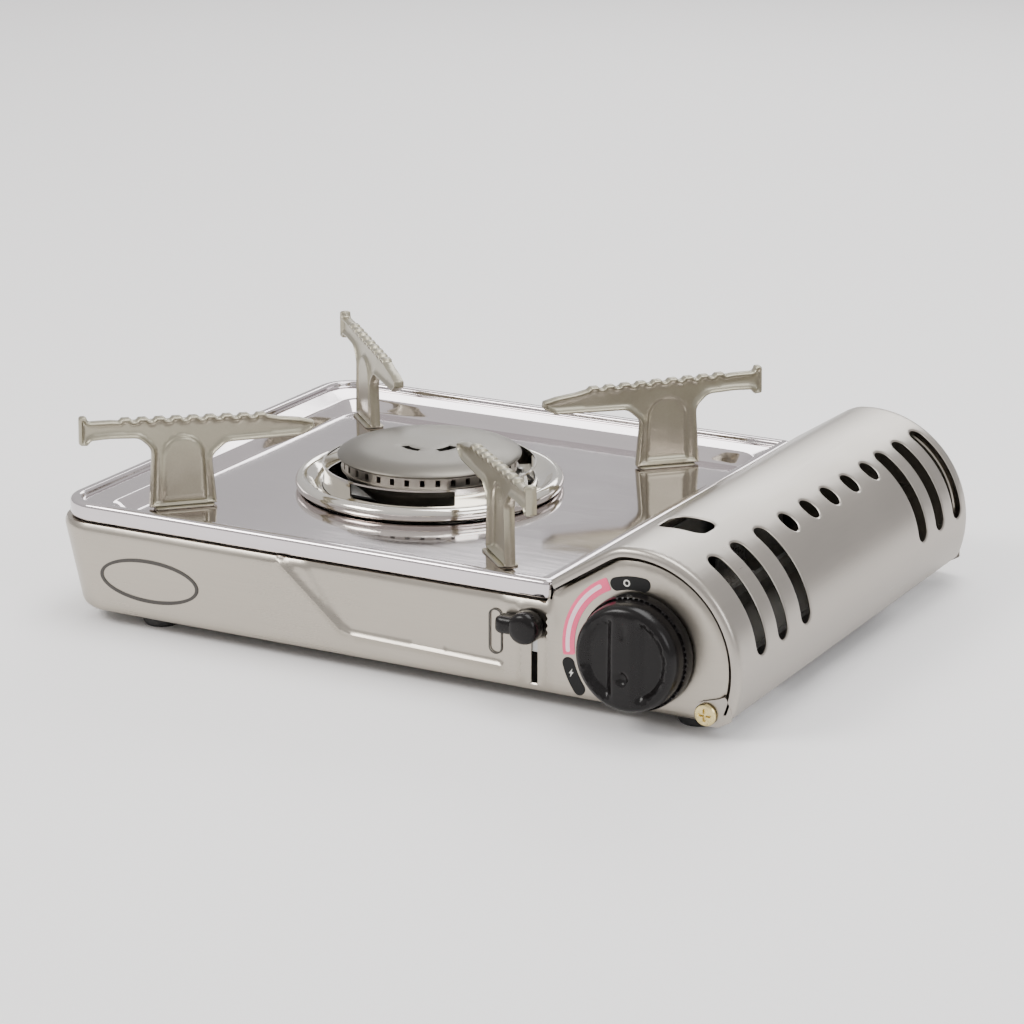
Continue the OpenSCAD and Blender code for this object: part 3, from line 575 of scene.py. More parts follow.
# floor of the case and of the bay, with its air slots and its upturned right edge
inset = 3.6
tray_front, tray_back = CASE_FRONT + SHEET + 12, CASE_BACK - SHEET - 12
lip = 6.0
floor_outline = rounded([(CASE_LEFT + LEAN + inset, CASE_FRONT + inset, CASE_R - inset),
                         (BAY_RIGHT, CASE_FRONT + inset, 0), (BAY_RIGHT, tray_front, 0),
                         (BAY_RIGHT + lip, tray_front, 0), (BAY_RIGHT + lip, tray_back, 0),
                         (BAY_RIGHT, tray_back, 0), (BAY_RIGHT, CASE_BACK - inset, 0),
                         (CASE_LEFT + LEAN + inset, CASE_BACK - inset, CASE_R - inset)])
vents = [rounded(rect(BURNER_X + i * 12 - 2, BURNER_X + i * 12 + 2,
                      BURNER_Y + 40, BURNER_Y + 74, 1.9)) for i in range(-3, 4)]
flat, tris = panel(floor_outline, vents, step=7.0, hole_step=2.0,
                   lines=[(np.array([[BAY_RIGHT - 1.2 + k, tray_front + 0.5],
                                     [BAY_RIGHT - 1.2 + k, tray_back - 0.5]]), False)
                          for k in (0.0, 0.6, 1.2, 1.9)])
bend = np.clip((flat[:, 0] - BAY_RIGHT + 1.2) / 1.2, 0, math.pi / 2)
past = np.clip(flat[:, 0] - BAY_RIGHT + 1.2 - 1.2 * math.pi / 2, 0, None)
floor_points = np.stack([np.where(bend > 0, BAY_RIGHT - 1.2 + 1.2 * np.sin(bend), flat[:, 0]),
                         flat[:, 1],
                         FLOOR_Z + 0.85 + 1.2 * (1 - np.cos(bend)) + past], 1)
floor = thicken(floor_points, tris, SHEET)
piece("case_shell", shell, CASE_STEEL, "stove_body",
      ["lower_case", "bay_tray"])
# the floor wears the darkened steel, painted shade for the dark inside of the case and its bay
piece("case_floor", floor, SHADE_DARKENED_FLOOR_STEEL, "stove_body", angle=38)


# ---------- deck ----------

RIM_W = 6.0                                      # width of the deck's rim
DECK_R_LEFT, DECK_R_RIGHT = 18, 4                # plan radii of the deck's corners


def plan_loop(x0, x1, y0, y1, left_r, right_r, z, arc=9, side=20):
    """Loop of a rounded rectangle in plan, always with the same number of points."""
    out = []
    corners = [(x1 - right_r, y0 + right_r, right_r, -90), (x1 - right_r, y1 - right_r, right_r, 0),
               (x0 + left_r, y1 - left_r, left_r, 90), (x0 + left_r, y0 + left_r, left_r, 180)]
    for k, (cx, cy, r, start) in enumerate(corners):
        for i in range(arc + 1):
            a = math.radians(start + 90 * i / arc)
            out.append((cx + r * math.cos(a), cy + r * math.sin(a)))
        nx, ny, nr, after = corners[(k + 1) % 4]
        a = math.radians(after)
        end = np.array([nx + nr * math.cos(a), ny + nr * math.sin(a)])
        begin = np.array(out[-1])
        out += [tuple(begin + (end - begin) * i / side) for i in range(1, side)]
    return np.column_stack([np.array(out), np.full(len(out), z)])


def rim_loop(step_in, z):
    """Loop round the deck's rim, step_in inside its outer edge."""
    right_r = max(DECK_R_RIGHT - step_in, 0.5 + 0.02 * (RIM_W - step_in))
    return plan_loop(DECK_LEFT + step_in, DECK_RIGHT - step_in, DECK_FRONT + step_in,
                     DECK_BACK - step_in, DECK_R_LEFT - step_in, right_r, z)


def basin_step(t, a=0.22):
    """Straight slope with both of its ends rounded."""
    if t < a:
        return t * t / (2 * a * (1 - a))
    if t > 1 - a:
        return 1 - (1 - t) ** 2 / (2 * a * (1 - a))
    return (t - a / 2) / (1 - a)


loops = [rim_loop(0.9, RIM_LOW), rim_loop(0.3, RIM_LOW + 0.2), rim_loop(0, RIM_LOW + 0.9),
         rim_loop(0, 50.5), rim_loop(0, 53.0)]
for k in range(1, 7):
    a = math.radians(15 * k)
    loops.append(rim_loop(2 * (1 - math.cos(a)), RIM_TOP - 2 + 2 * math.sin(a)))
for k in range(0, 6):
    a = math.radians(18 * k)
    loops.append(rim_loop(3.9 + 1.4 * math.sin(a), RIM_TOP - 1.4 * (1 - math.cos(a))))
for k in range(1, 5):
    a = math.radians(22.5 * k)
    loops.append(rim_loop(RIM_W - 0.7 * math.cos(a), LEDGE_Z + 0.7 * (1 - math.sin(a))))
basin_right = DECK_RIGHT - RIM_W - 0.4
top_loop = plan_loop(CASE_LEFT + 24, basin_right, DECK_FRONT + 7.6, BACK - 24, 12, 12, LEDGE_Z)
floor_loop = plan_loop(CASE_LEFT + 31, basin_right - 2, DECK_FRONT + 10, BACK - 31, 12, 12,
                       DECK_Z)
for k in range(13):
    t = k / 12
    row = top_loop + (floor_loop - top_loop) * t
    row[:, 2] = LEDGE_Z + (DECK_Z - LEDGE_Z) * basin_step(t)
    loops.append(row)
centre = np.array([BURNER_X, BURNER_Y])
rays = floor_loop[:, :2] - centre
rays /= np.linalg.norm(rays, axis=1, keepdims=True)
HOLE_R = 56.0


def burner_loop(r, z):
    """Circle about the burner, with its points on the same rays as the deck."""
    return np.column_stack([centre + rays * r, np.full(len(rays), z)])


first = floor_loop[:, :2] - centre
for t in (0.12, 0.4, 0.7, 0.92):
    row = floor_loop.copy()
    row[:, :2] = centre + first * (1 - t) + rays * HOLE_R * t
    loops.append(row)
for r, z in ((HOLE_R + 1.2, DECK_Z), (HOLE_R + 0.6, DECK_Z - 0.2), (HOLE_R + 0.1, DECK_Z - 0.8),
             (HOLE_R, DECK_Z - 1.6), (HOLE_R, DECK_Z - 3.4)):
    loops.append(burner_loop(r, z))
points, faces = loft(loops)
piece("deck", thicken(points, faces, SHEET - 0.05), DECK_STEEL, "stove_body",
      ["top_plate"], angle=40)


# ---------- lid ----------

def slope_point(x):
    """Point of the lid's slope at x."""
    return x, LID_Z + (LID_SLOPE + math.sin(SLOPE) * (x - LID_X)) / math.cos(SLOPE)


meet = -math.degrees(SLOPE) + math.degrees(math.acos(LID_SLOPE / LID_R))
arc_angles = np.linspace(meet, LID_END, 84)
lid_corners = [(*slope_point(lid_low[0]), 0)]
lid_corners += [(LID_X + LID_R * math.sin(math.radians(a)),
                 LID_Z + LID_R * math.cos(math.radians(a)), 0) for a in arc_angles]
lid_line = np.array([c[:2] for c in lid_corners])
blend_from, blend_to = 6.0, 5.0                  # the corner's fillet reaches this far each way
length = np.concatenate([[0], np.cumsum(np.linalg.norm(np.diff(lid_line, axis=0), axis=1))])
S_MEET = length[1]
fine_s = np.unique(np.concatenate([np.linspace(0, S_MEET - blend_from, 6),
                                   np.linspace(S_MEET + blend_to, length[-1], 110)]))
path = np.stack([np.interp(fine_s, length, lid_line[:, k]) for k in (0, 1)], 1)
gap = np.searchsorted(fine_s, S_MEET)
a, b = path[gap - 1], path[gap]
da, db = unit(path[gap - 1] - path[gap - 2]), unit(path[gap + 1] - path[gap])
t = np.linspace(0, 1, 14)[1:-1, None]
span = blend_from + blend_to
hermite = ((2 * t**3 - 3 * t**2 + 1) * a + (t**3 - 2 * t**2 + t) * da * span
           + (-2 * t**3 + 3 * t**2) * b + (t**3 - t**2) * db * span)
path = np.vstack([path[:gap], hermite, path[gap:]])
path_s = np.concatenate([fine_s[:gap], fine_s[gap - 1] + span * t[:, 0], fine_s[gap:]])
tangent = np.gradient(path, path_s, axis=0)
tangent /= np.linalg.norm(tangent, axis=1, keepdims=True)
path_normal = np.stack([-tangent[:, 1], tangent[:, 0]], 1)
S_END = path_s[-1]


def s_of(angle):
    """Distance along the lid at an angle past vertical."""
    return S_MEET + (S_END - S_MEET) * (angle - meet) / (LID_END - meet)


RING_FRONT, RING_REAR = 3.7, 7.4                 # widths of the lid's inward end rings
TURN_R = 2.6
TURN = TURN_R * math.pi / 2
V0, V1 = FRONT + TURN_R, BACK - TURN_R
V_FRONT = V0 - TURN - RING_FRONT + TURN_R
V_REAR = V1 + TURN + RING_REAR - TURN_R


def lid_place(p, lift):
    """Bends the unrolled lid round its curve, with a turned ring at each end."""
    v, s = p[:, 0], p[:, 1]
    over = np.where(v < V0, V0 - v, np.where(v > V1, v - V1, 0.0))
    sign = np.where(v < V0, -1.0, 1.0)
    a = np.clip(over / TURN_R, 0, math.pi / 2)
    y = np.clip(v, V0, V1) + sign * TURN_R * np.sin(a)
    drop = TURN_R * (1 - np.cos(a)) + np.clip(over - TURN, 0, None) - lift
    base = [np.interp(s, path_s, path[:, k]) for k in (0, 1)]
    n = [np.interp(s, path_s, path_normal[:, k]) for k in (0, 1)]
    return np.stack([base[0] - n[0] * drop, y, base[1] - n[1] * drop], 1)


def lid_slot(y, width, a0, a1, r=None):
    """Slot across the lid's curve in its unrolled plan."""
    s0, s1 = s_of(a0), s_of(a1)
    return rounded(rect(y - width / 2, y + width / 2, s0, s1, width / 2 - 0.01 if r is None else r))


LONG_SLOT_W, SHORT_SLOT_W, SHORT_PITCH = 9.8, 9.0, 22
SLOT_SPREAD = 0.995                              # scale of the long slots' places along the lid
lid_slots = [lid_slot(MID_Y + y * SLOT_SPREAD, LONG_SLOT_W, 28.6, 85.6)
             for y in (-103.5, -82, -58.5, 72.5, 93, 114)]
lid_slots += [lid_slot(MID_Y - 34 + i * SHORT_PITCH, SHORT_SLOT_W, 29.0, 41.8)
              for i in range(5)]
window = lid_slot(MID_Y - 82.5, 17.0, -9.0, 16.0, 5.5)
window[:, 0] += (window[:, 1] - s_of(4)) * 0.12
lid_slots.append(window)


def lid_relief(p):
    """How far the lid's skin dips beside its slots and its window."""
    out = np.zeros(len(p))
    for loop in lid_slots:
        near = (np.abs(p - loop.mean(0)) < np.ptp(loop, axis=0) / 2 + 4).all(1)
        if near.any():
            d = np.clip(-depth(p[near], loop), 0, None)
            out[near] -= 0.4 * quarter(d / 1.0)
    return out


lid_outline = np.array([[V_FRONT, 0], [V_REAR, 0], [V_REAR, S_END], [V_FRONT, S_END]])
lines = [(np.array([[v + side * k * TURN, 0.6], [v + side * k * TURN, S_END - 0.6]]), False)
         for v, side in ((V0, -1), (V1, 1)) for k in (0, 0.33, 0.66, 1)]
for loop in lid_slots:
    mid = loop.mean(0)
    for grow in (0.5, 1.2):
        half = np.ptp(loop, axis=0) / 2
        lines.append((mid + (loop - mid) * (half + grow) / half, True))
flat, tris = panel(lid_outline, lid_slots, lines, step=2.4, hole_step=1.0)
lid_shape = thicken(lid_place(flat, lid_relief(flat)), tris[:, ::-1], SHEET)


def ear(y, out):
    """Ear of the lid's end ring round the hinge screw."""
    outline = rounded([(HINGE_X - 5.2, HINGE_Z - 1, 4), (HINGE_X - 1, HINGE_Z - 5.3, 5.2),
                       (HINGE_X + 5.4, HINGE_Z - 5.0, 3.5), (168.3, 9.2, 1), (168.0, 14.0, 0),
                       (165.5, 19.5, 1), (161.8, 17.8, 3), (HINGE_X + 1, HINGE_Z + 6.0, 4),
                       (HINGE_X - 5.2, HINGE_Z + 4, 4)])
    flat_ear, ear_tris = panel(outline, [circle(HINGE_X, HINGE_Z, 2.1, 24)], step=1.6)
    pts = np.stack([flat_ear[:, 0], np.full(len(flat_ear), y), flat_ear[:, 1]], 1)
    return thicken(pts, ear_tris if out < 0 else ear_tris[:, ::-1], SHEET)


piece("lid_shell", merge(lid_shape, ear(FRONT, -1), ear(BACK, 1)), LID_STEEL, "lid_body",
      ["lid"], angle=38)


# ---------- pan supports ----------

SUPPORT_S = 115.5                                # middle of a leg, from the burner's axis
FOOT_IN, FOOT_OUT, FOOT_HALF = 14, 13, 4.6       # reach of a foot plate round that point
teeth = []
for i in range(9):
    s = 79 + i * 7.7
    top = 87.0 + i * 0.26
    teeth += [(s + 3.0, top + 0.1, 0.7), (s + 1.8, top + 1.35, 0.8), (s - 1.8, top + 1.25, 0.8)]
    teeth += [(s - 3.2, top - 0.1, 0.7)]
teeth = sorted(teeth, key=lambda c: -c[0])
support_corners = [(100, DECK_Z + 0.8, 0.4), (131, DECK_Z + 0.8, 0.4), (129.2, 75, 6),
                   (135, 80.6, 6), (148, 81.3, 8), (156.4, 81.0, 2), (158.2, 78.9, 1.2),
                   (161.9, 79.2, 1.2), (161.7, 92.4, 1.4), (158.3, 92.4, 1.2), (157.6, 89.8, 1.5),
                   (147, 89.6, 1.5), *teeth, (70, 85.6, 3), (61, 84.4, 3), (54.4, 82.7, 0.9),
                   (54.2, 79.5, 0.9), (60, 76.2, 4), (95, 75.8, 6), (101.9, 70, 5)]
support_loop = rounded(support_corners, fine=18)
arch_corners_s = [(104.6, 46, 0), (125.8, 46, 0), (124.6, 80.4, 9.6), (105.9, 80.4, 9.6)]
arch_loops = [rounded(arch_corners_s, grow=g) for g in (-0.9, -0.3, 0.3)]
arch_loop = arch_loops[1]


def support_shape(turn):
    """Pressed support: thick rounded borders, a thin web and a raised arch on its leg."""
    flat_s, tris_s = panel(support_loop, [], [(rounded(support_corners, grow=-g, fine=18), True)
                                              for g in (0.2, 0.6, 1.1, 1.9)]
                           + [(np.maximum(arch, [0, DECK_Z + 3.2]), True)
                              for arch in arch_loops], step=1.4)
    d = depth(flat_s, support_loop)
    border = 1.0 + 1.4 * (1 - ease((d - 1.1) / 1.2))
    half = border * np.sqrt(np.clip(1 - (1 - np.clip(d / 0.6, 0, 1)) ** 2, 0.0, 1))
    raised = 1.2 * ease((depth(flat_s, arch_loop) + 0.6) / 1.2) * ease((d - 1.5) / 1.5)
    n = len(flat_s)
    top = np.stack([flat_s[:, 0], half + raised, flat_s[:, 1]], 1)
    low = np.stack([flat_s[:, 0], raised - half, flat_s[:, 1]], 1)
    pts, faces_s = weld(np.vstack([top, low]), np.vstack([tris_s[:, ::-1], tris_s + n]))
    # foot plate, bent outwards from the leg
    foot = capped([plan_loop(SUPPORT_S - FOOT_IN + k, SUPPORT_S + FOOT_OUT - k,
                             -FOOT_HALF + k, FOOT_HALF - k, 1.6, 1.6, z, 4, 6)
                   for k, z in ((0.3, DECK_Z + 0.02), (0, DECK_Z + 0.3), (0, DECK_Z + 0.8),
                                (0.3, DECK_Z + 1.05))])
    points_s, all_faces = merge((pts, faces_s), foot)
    c, s = math.cos(math.radians(turn)), math.sin(math.radians(turn))
    x, y = points_s[:, 0], points_s[:, 1]
    placed = np.stack([BURNER_X + x * c - y * s, BURNER_Y + x * s + y * c, points_s[:, 2]], 1)
    return placed, all_faces


for number, turn in enumerate((225, 315, 45, 135), 1):
    piece(f"support_{number}", support_shape(turn), SUPPORT_METAL, "stove_body",
          [f"pan_support_{number}"], angle=50)


# ---------- burner ----------

def at_burner(shape):
    """Moves a shape made about Z onto the burner's axis."""
    points_b, faces_b = shape
    return points_b + [BURNER_X, BURNER_Y, 0], faces_b


CAP_R, CAP_Z = (cap_high[0] - cap_low[0]) / 2, cap_low[2]
SLIT_OUTER, SLIT_INNER = (14.0, 13.2), (9.6, 10.4)   # X and Y radii of the slits' two edges
slits = []
for middle in (-108, -18):
    a0, a1 = math.radians(middle - 24), math.radians(middle + 24)
    angles = np.linspace(a0, a1, 10)
    outer = [(SLIT_OUTER[0] * math.cos(a), SLIT_OUTER[1] * math.sin(a)) for a in angles]
    inner = [(SLIT_INNER[0] * math.cos(a), SLIT_INNER[1] * math.sin(a)) for a in angles[::-1]]
    slits.append(np.array(outer + inner))
rings = [(circle(0, 0, r, 96), True) for r in (26, 31, 33.4, 36, 38.4, 40, 41.2, 42)]
flat, tris = panel(circle(0, 0, CAP_R, 128), slits, rings, step=2.2, hole_step=1.0)
radius = np.linalg.norm(flat, axis=1)
cap_line = np.array([(0, 5.4), (10, 5.36), (24, 5.3), (30, 5.1), (33.4, 4.7), (36.5, 4.0),
                     (38.8, 3.2), (40.6, 2.4), (41.8, 1.8), (42.4, 1.1)])
height = CAP_Z + np.interp(radius, cap_line[:, 0], cap_line[:, 1])
for loop in slits:
    height -= 0.35 * quarter(np.clip(-depth(flat, loop), 0, None) / 1.0)
cap_top = thicken(np.column_stack([flat, height]), tris, 1.1)
cap_rim = lathe([(36.5, CAP_Z + 0.15), (41.5, CAP_Z), (42.2, CAP_Z + 0.3), (42.4, CAP_Z + 0.7),
                 (42.4, CAP_Z + 1.1), (42.0, CAP_Z + 1.4), (36.5, CAP_Z + 1.5),
                 (36.5, CAP_Z + 0.15)])
cap_hub = lathe([(0, CAP_Z + 0.1), (8.4, CAP_Z + 0.1), (8.4, CAP_Z + 3.9), (0, CAP_Z + 3.9)], 64)
piece("burner_lid_cap", at_burner(merge(cap_top, cap_rim, cap_hub)), CAP_METAL, "stove_body",
      ["burner_cap"], angle=38)

PORT_Z, PORT_R = ports_low[2], (ports_high[0] - ports_low[0]) / 2


def drum(r, z0, z1, cuts, thick, step):
    """Upright ring whose cuts are (middle angle, half width, low, high, corner) in its wall."""
    girth = 2 * math.pi * r
    outline = np.array([[0, z0], [girth, z0], [girth, z1], [0, z1]], float)
    loops_d = []
    for middle, half, low, high, corner in cuts:
        c = (math.radians(middle) % (2 * math.pi)) * r
        loops_d.append(rounded(rect(c - half, c + half, low, high, corner)))
    flat_d, tris_d = panel(outline, loops_d, step=step, hole_step=min(step, 1.2))
    a = flat_d[:, 0] / r
    pts = np.stack([r * np.cos(a), r * np.sin(a), flat_d[:, 1]], 1)
    return thicken(pts, tris_d, thick)


PORT_COUNT = 36
ports = [((i + 0.5) * 360 / PORT_COUNT, 1.1, PORT_Z + 1.0, PORT_Z + 4.0, 0.3)
         for i in range(PORT_COUNT)]
piece("flame_ports", at_burner(drum(PORT_R, PORT_Z, CAP_Z, ports, 3.4, 1.8)), BURNER_METAL,
      "stove_body", ["port_ring"])
bowl = [(10.6, 36), (14, 36), (15.5, 36.5), (23, 40), (25, 41.2), (35, 50), (37.6, 52),
        (38.7, 53.2), (39.3, 55), (40.7, 56.2), (40.8, 57), (37.6, 57), (37.6, 55.4),
        (37.2, 53.9), (34, 51.4), (21.5, 41.5), (13.4, 37.5), (10.6, 37.5), (10.6, 36)]
piece("burner_head", at_burner(lathe(bowl, 96)), BURNER_METAL, "stove_body",
      ["burner_bowl"], angle=40)

COLLAR_R, COLLAR_Z = (collar_high[0] - collar_low[0]) / 2, collar_low[2]
half_window = math.radians(30) * COLLAR_R
COLLAR_TOP = collar_high[2]
windows = [(-77 + i * 90, half_window, COLLAR_TOP - 7.5, COLLAR_TOP - 0.8, 0.7)
           for i in range(4)]
collar = drum(COLLAR_R, COLLAR_Z, COLLAR_TOP, windows, 0.8, 2.0)
piece("guard_collar", at_burner(collar), CHROME, "stove_body",
      ["burner_collar"])

RING_R = (ring_high[0] - ring_low[0]) / 2
bead_r, bead_z = 3.2, DECK_Z + 3.5
ring_top = [(COLLAR_R + 0.3, DECK_Z + 1.5), (51.2, DECK_Z + 1.7), (53.2, DECK_Z + 2.5),
            (54.2, DECK_Z + 3.6)]
ring_top += [(RING_R - bead_r + bead_r * math.cos(math.radians(a)),
              bead_z + bead_r * math.sin(math.radians(a))) for a in range(150, -151, -12)]
ring_top += [(56.3, DECK_Z + 1.1), (55.0, DECK_Z + 1.4), (53.6, DECK_Z + 1.2),
             (51.4, DECK_Z + 0.6), (COLLAR_R + 0.3, DECK_Z + 0.4), (COLLAR_R + 0.3, DECK_Z + 1.5)]
piece("drip_bead", at_burner(lathe(ring_top[::-1], 160)), CHROME, "stove_body",
      ["drip_ring"], angle=50)

ELECTRODE_X, ELECTRODE_Y = (tip_low[:2] + tip_high[:2]) / 2
insulator = [(0.75, 44), (2.2, 44), (2.5, 44.3), (2.5, 50.6), (2.2, 51), (2.2, 51.5), (2.5, 51.9),
             (2.5, 54.4), (2.3, 55.2), (1.7, 57.4), (1.4, 57.9), (0.75, 58), (0.75, 44)]
points, faces = lathe(insulator, 40)
piece("electrode_insulator", (points + [ELECTRODE_X, ELECTRODE_Y, 0], faces), CERAMIC,
      "stove_body", ["electrode_ceramic"], angle=40)


# ---------- controls ----------

KNOB_FACE = knob_low[1]
KNOB_BACK = knob_high[1]
KNOB_SIDES = 120                                 # points round the knob's edge
knob_depth = KNOB_BACK - KNOB_FACE


def knob_height(p):
    """Height of the knob over its back: a skirt, a coned side and a grip across its face."""
    r = np.linalg.norm(p, axis=1)
    side = np.interp(r / KNOB_R, [0, 0.74, 0.81, 0.87, 0.91, 0.935, 0.95, 0.98, 0.993, 1.0],
                     [1.0, 1.0, 0.985, 0.94, 0.85, 0.62, 0.34, 0.31, 0.24, 0.0]) * knob_depth
    grip = ease((8.4 - np.abs(p[:, 0])) / 4.4)
    hollow = 3.0 * (1 - grip) * ease((19.6 - r) / 3.0)
    crown = 1.2 * (r / KNOB_R) ** 2
    dimple = 1.6 * (1 - ease((np.hypot(p[:, 0], p[:, 1] + 7.5) - 1.4) / 1.8))
    index = 0.5 * (1 - ease((np.hypot(p[:, 0] / 0.7, (p[:, 1] - 12.6) / 1.6) - 1.8) / 0.8))
    return np.maximum(side - crown - hollow - dimple - index,
                      np.where(r > 0.95 * KNOB_R, side, 1.0))


rings = [(circle(0, 0, r * KNOB_R, KNOB_SIDES), True)
         for r in (0.67, 0.74, 0.81, 0.84, 0.87, 0.89, 0.91, 0.935, 0.95, 0.98, 0.993)]
cross = [(np.array([[x, -math.sqrt(16**2 - x * x)], [x, math.sqrt(16**2 - x * x)]]), False)
         for x in (-8.4, -6.2, -4.0, 4.0, 6.2, 8.4)]
flat, tris = panel(circle(0, 0, KNOB_R, KNOB_SIDES), [], rings + cross, step=1.2)
top = np.column_stack([flat, knob_height(flat)])
points, faces = weld(top, tris)
back_plate = lathe([(0, 0.25), (KNOB_R - 0.02, 0.0)][::-1], KNOB_SIDES)
knob_points, knob_faces = merge((points, faces), back_plate)
piece("knob_cap", (facing_front(knob_points, KNOB_X, KNOB_BACK, KNOB_Z), knob_faces), BLACK,
      "knob_body", ["gas_knob"], angle=40)

LEVER_X, LEVER_Z = lever_high[0] - 7, (lever_low[2] + lever_high[2]) / 2
button = [(0, 9.0), (3.6, 8.8), (5.4, 8.3), (6.4, 7.4), (6.9, 6.0), (7.0, 4.6), (7.0, 1.2),
          (6.7, 0.4), (6.0, 0.0), (0, 0.0)]
points, faces = lathe(button[::-1], 72)
button_shape = (facing_front(points, LEVER_X, lever_high[1], LEVER_Z), faces)
tab_loops = []
for grow, y in ((-1.6, 0.3), (-0.5, 0.5), (0, 1.2), (0, 5.4), (-0.6, 6.6), (-1.9, 7.3),
                (-3.2, 7.5)):
    loop = rounded([(lever_low[0], LEVER_Z - 3.8, 2.4), (LEVER_X + 1, LEVER_Z - 3.8, 0.3),
                    (LEVER_X + 1, LEVER_Z + 3.8, 0.3), (lever_low[0], LEVER_Z + 3.8, 2.4)])
    mid = loop.mean(0)
    half = np.ptp(loop, axis=0) / 2
    loop = mid + (loop - mid) * (half + grow) / half
    tab_loops.append(np.stack([loop[:, 0], np.full(len(loop), lever_high[1] - y), loop[:, 1]], 1))
piece("lever_button", merge(button_shape, capped(tab_loops)), BLACK, "lever_body",
      ["lever_knob"], angle=40)


# ---------- marks round the knob ----------

MARK_Y = CASE_FRONT - 0.2                        # face of the marks
DIAL_X, DIAL_Z = KNOB_X - 1.5, KNOB_Z - 2.5      # middle of the dial's marks
MARK_R = 32.0                                    # radius at which their length is measured


def sector(r0, r1, a0, a1, corner):
    """Outline of a band about the knob, from a0 to a1 degrees, with round corners."""
    flat_m = rounded(rect(math.radians(a0) * MARK_R, math.radians(a1) * MARK_R, -r1, -r0, corner))
    flat_m = resample(flat_m, 1.0)
    a, r = flat_m[:, 0] / MARK_R, -flat_m[:, 1]
    return np.stack([DIAL_X + r * np.cos(a), DIAL_Z + r * np.sin(a)], 1)[::-1]


def mark(outline, holes_m=(), face=MARK_Y, thick=0.2):
    """Flat mark on the front, from the outline of its face."""
    flat_m, tris_m = panel(outline, holes_m, step=1.6, hole_step=0.4)
    pts = np.stack([flat_m[:, 0], np.full(len(flat_m), face), flat_m[:, 1]], 1)
    return thicken(pts, tris_m, thick)


def on_dial(r, a):
    """Place at radius r and a degrees from the dial's middle."""
    return DIAL_X + r * math.cos(math.radians(a)), DIAL_Z + r * math.sin(math.radians(a))


piece("dial_arc_band", mark(sector(28.8, 34.4, 114.5, 189, 0.8)), PINK, "stove_body",
      ["dial_arc"])
# painted highlight: a pale band along the middle of the pink arc, in place of its shine
piece("dial_arc_shine", mark(sector(31.0, 32.9, 121, 187, 0.9), face=MARK_Y - 0.05, thick=0.1),
      PINK_PAINTED_HIGHLIGHT, "stove_body")
piece("off_mark_band", mark(sector(27.8, 33.6, 79, 113.4, 2.8)), INK_BLACK, "stove_body",
      ["off_mark"])
piece("light_mark_band", mark(sector(30.0, 35.6, 191, 221, 2.7)), INK_BLACK, "stove_body",
      ["light_mark"])
badge_at = (badge_low + badge_high)[[0, 2]] / 2
badge_half = (badge_high - badge_low)[[0, 2]] / 2
around = circle(0, 0, 1, 96)
piece("oval_outline", mark(badge_at + around * badge_half, [badge_at + around * (badge_half - 1.6)],
                           badge_low[1], 0.3), INK_GREY, "stove_body", ["badge"])
ring_at = on_dial(30.7, 99)
zero = mark(circle(*ring_at, 1.5, 32), [circle(*ring_at, 0.9, 24)], MARK_Y - 0.05, 0.1)
bolt = np.array([(0.5, 1.9), (-1.1, -0.3), (-0.2, -0.3), (-0.5, -1.9), (1.1, 0.4), (0.2, 0.4)])
spark = mark(bolt + np.array(on_dial(32.8, 203)), (), MARK_Y - 0.05, 0.1)
piece("mark_symbols", merge(zero, spark), WHITE, "stove_body")


# ---------- hinge screws ----------

SCREW_R = 4.8                                    # radius of a screw's head


def screw(face, out):
    """Cheese-head screw with a cross recess: out is -1 at the front and 1 at the rear."""
    flat_w, tris_w = panel(circle(0, 0, SCREW_R, 64), [],
                           [(circle(0, 0, r, 64), True) for r in (3.9, 4.4)], step=0.5)
    r = np.linalg.norm(flat_w, axis=1)
    arm = np.minimum(np.abs(flat_w[:, 0]), np.abs(flat_w[:, 1]))
    top_w = 1.8 - 0.35 * (r / SCREW_R) ** 2 - 0.5 * quarter((SCREW_R - r) / 0.8)
    top_w -= 1.0 * (1 - ease((arm - 0.35) / 0.3)) * ease((2.9 - r) / 0.4)
    pts, fcs = weld(np.column_stack([flat_w, top_w]), tris_w)
    shank = lathe([(0, -4.9), (2.0, -4.9), (2.0, 0.0), (SCREW_R, 0.0), (SCREW_R, 0.95)], 64)
    nut = lathe([(0, -4.6), (3.4, -4.6), (3.6, -4.4), (3.6, -2.4), (3.4, -2.2), (0, -2.2)], 6)
    pts, fcs = merge((pts, fcs), shank, nut)
    if out > 0:
        pts = pts * [1, 1, -1]
        fcs = [tuple(reversed(f)) for f in fcs]
    return facing_front(pts, HINGE_X, face, HINGE_Z), fcs


piece("hinge_screw_pair", merge(screw(FRONT - 0.4, -1), screw(BACK + 0.4, 1)), YELLOW_ZINC,
      "stove_body", ["hinge_screws"], angle=35)


# ---------- CAD nodes that keep their shape ----------

FINISHES = {
    "zinc_plate": ZINC, "aluminium": ALUMINIUM, "brass": BRASS, "black_plastic": BLACK,
    "white_plastic": WHITE, "wire_red": RED_WIRE, "rubber": RUBBER, "mark_pink": PINK,
    "mark_black": INK_BLACK, "mark_grey": INK_GREY, "case_steel": CASE_STEEL,
    "burner_zinc": BURNER_METAL, "support_nickel": SUPPORT_METAL, "drip_chrome": CHROME,
    "deck_steel": DECK_STEEL, "lid_steel": LID_STEEL, "yellow_zinc": YELLOW_ZINC,
    "ceramic": CERAMIC,
}
slot_of = {part["node"]: part["material_slot"] for part in frame["record"]["subparts"]}
THIN = ("dial_arc", "off_mark", "light_mark", "lever_mark", "badge")
for name, obj in frame["nodes"].items():
    finish = FINISHES.get(slot_of.get(name), ZINC)
    obj.data.materials.clear()
    obj.data.materials.append(finish)
    if obj.hide_render or name in THIN:
        continue
    join = obj.modifiers.new("join", "WELD")
    join.merge_threshold = 0.005 * MM
    edge = obj.modifiers.new("edges", "BEVEL")
    edge.width = 0.18 * MM
    edge.segments = 2
    edge.limit_method = "ANGLE"
    edge.angle_limit = math.radians(50)
    edge.harden_normals = False


# ---------- camera, floor and light ----------

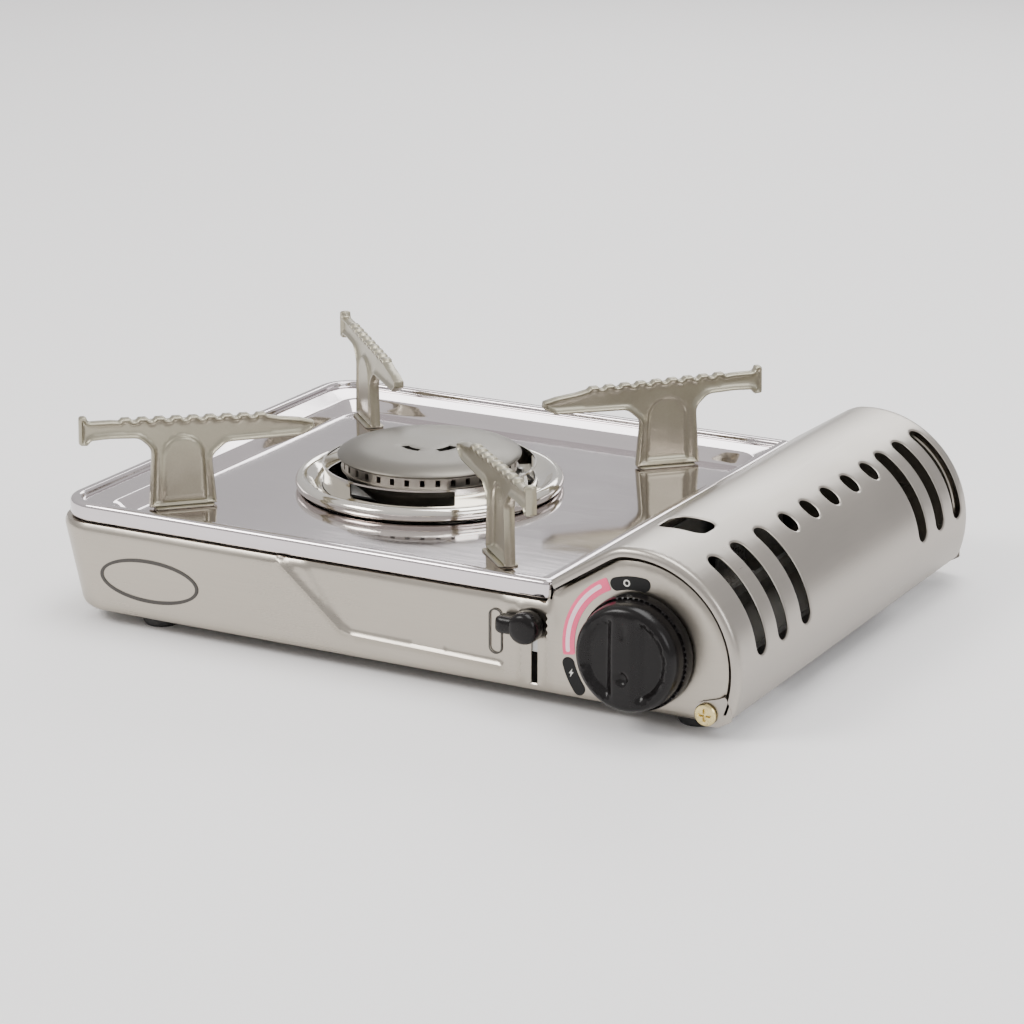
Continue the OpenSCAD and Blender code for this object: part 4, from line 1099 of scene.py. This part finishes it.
scene = bpy.context.scene
target = Vector((-0.0015, 0.007, 0.040))
azimuth, elevation, reach = math.radians(28.47), math.radians(16.98), 1.584
view_from = Vector((math.sin(azimuth) * math.cos(elevation),
                    -math.cos(azimuth) * math.cos(elevation), math.sin(elevation)))
camera = bpy.data.objects.new("camera", bpy.data.cameras.new("camera"))
camera.data.lens = 122
camera.data.clip_start = 0.05
camera.location = target + view_from * reach
camera.rotation_mode = "QUATERNION"
camera.rotation_quaternion = (-view_from).to_track_quat("-Z", "Y")
scene.collection.objects.link(camera)
scene.camera = camera

floor_mesh = bpy.data.meshes.new("ground")
floor_mesh.from_pydata([(-4, -4, 0), (4, -4, 0), (4, 4, 0), (-4, 4, 0)], [], [(0, 1, 2, 3)])
ground = bpy.data.objects.new("ground", floor_mesh)
scene.collection.objects.link(ground)
ground.data.materials.append(material("pale_floor", (0.95, 0.94, 0.94), 0, 0.6, 0.005, 0.02,
                                      blotch=3, grain=200))

world = bpy.data.worlds.new("studio")
scene.world = world
world.use_nodes = True
wn, wl = world.node_tree.nodes, world.node_tree.links
direction = new_node(wn, "TexCoord")
split = new_node(wn, "SeparateXYZ")
wl.new(direction.outputs["Generated"], split.inputs[0])
sky = new_node(wn, "ValToRGB")
set_ramp(sky, (0.0, (0.62, 0.61, 0.62)), (1.0, (0.95, 0.93, 0.92)))
wl.new(split.outputs["Z"], sky.inputs["Fac"])
wl.new(sky.outputs["Color"], wn["Background"].inputs["Color"])
wn["Background"].inputs["Strength"].default_value = 1.1


def lamp(name, place, aim, size, power, colour=(1, 1, 1)):
    """Rectangular lamp at a place, aimed at a point."""
    light = bpy.data.lights.new(name, "AREA")
    light.shape = "RECTANGLE"
    light.size, light.size_y = size
    light.energy = power
    light.color = colour
    obj = bpy.data.objects.new(name, light)
    obj.location = place
    obj.rotation_mode = "QUATERNION"
    obj.rotation_quaternion = (Vector(aim) - Vector(place)).to_track_quat("-Z", "Y")
    scene.collection.objects.link(obj)


lamp("key", (-1.1, -1.2, 1.5), (0, 0, 0.04), (0.9, 0.7), 30, (1, 0.985, 0.96))
lamp("top", (0.25, 0.35, 1.7), (0, 0, 0.04), (1.2, 0.8), 19)
lamp("fill", (1.6, -0.6, 0.9), (0.1, 0, 0.05), (0.8, 0.8), 9, (0.97, 0.98, 1))
lamp("rear", (-0.4, 1.7, 0.9), (0, 0, 0.05), (1.4, 0.4), 10)
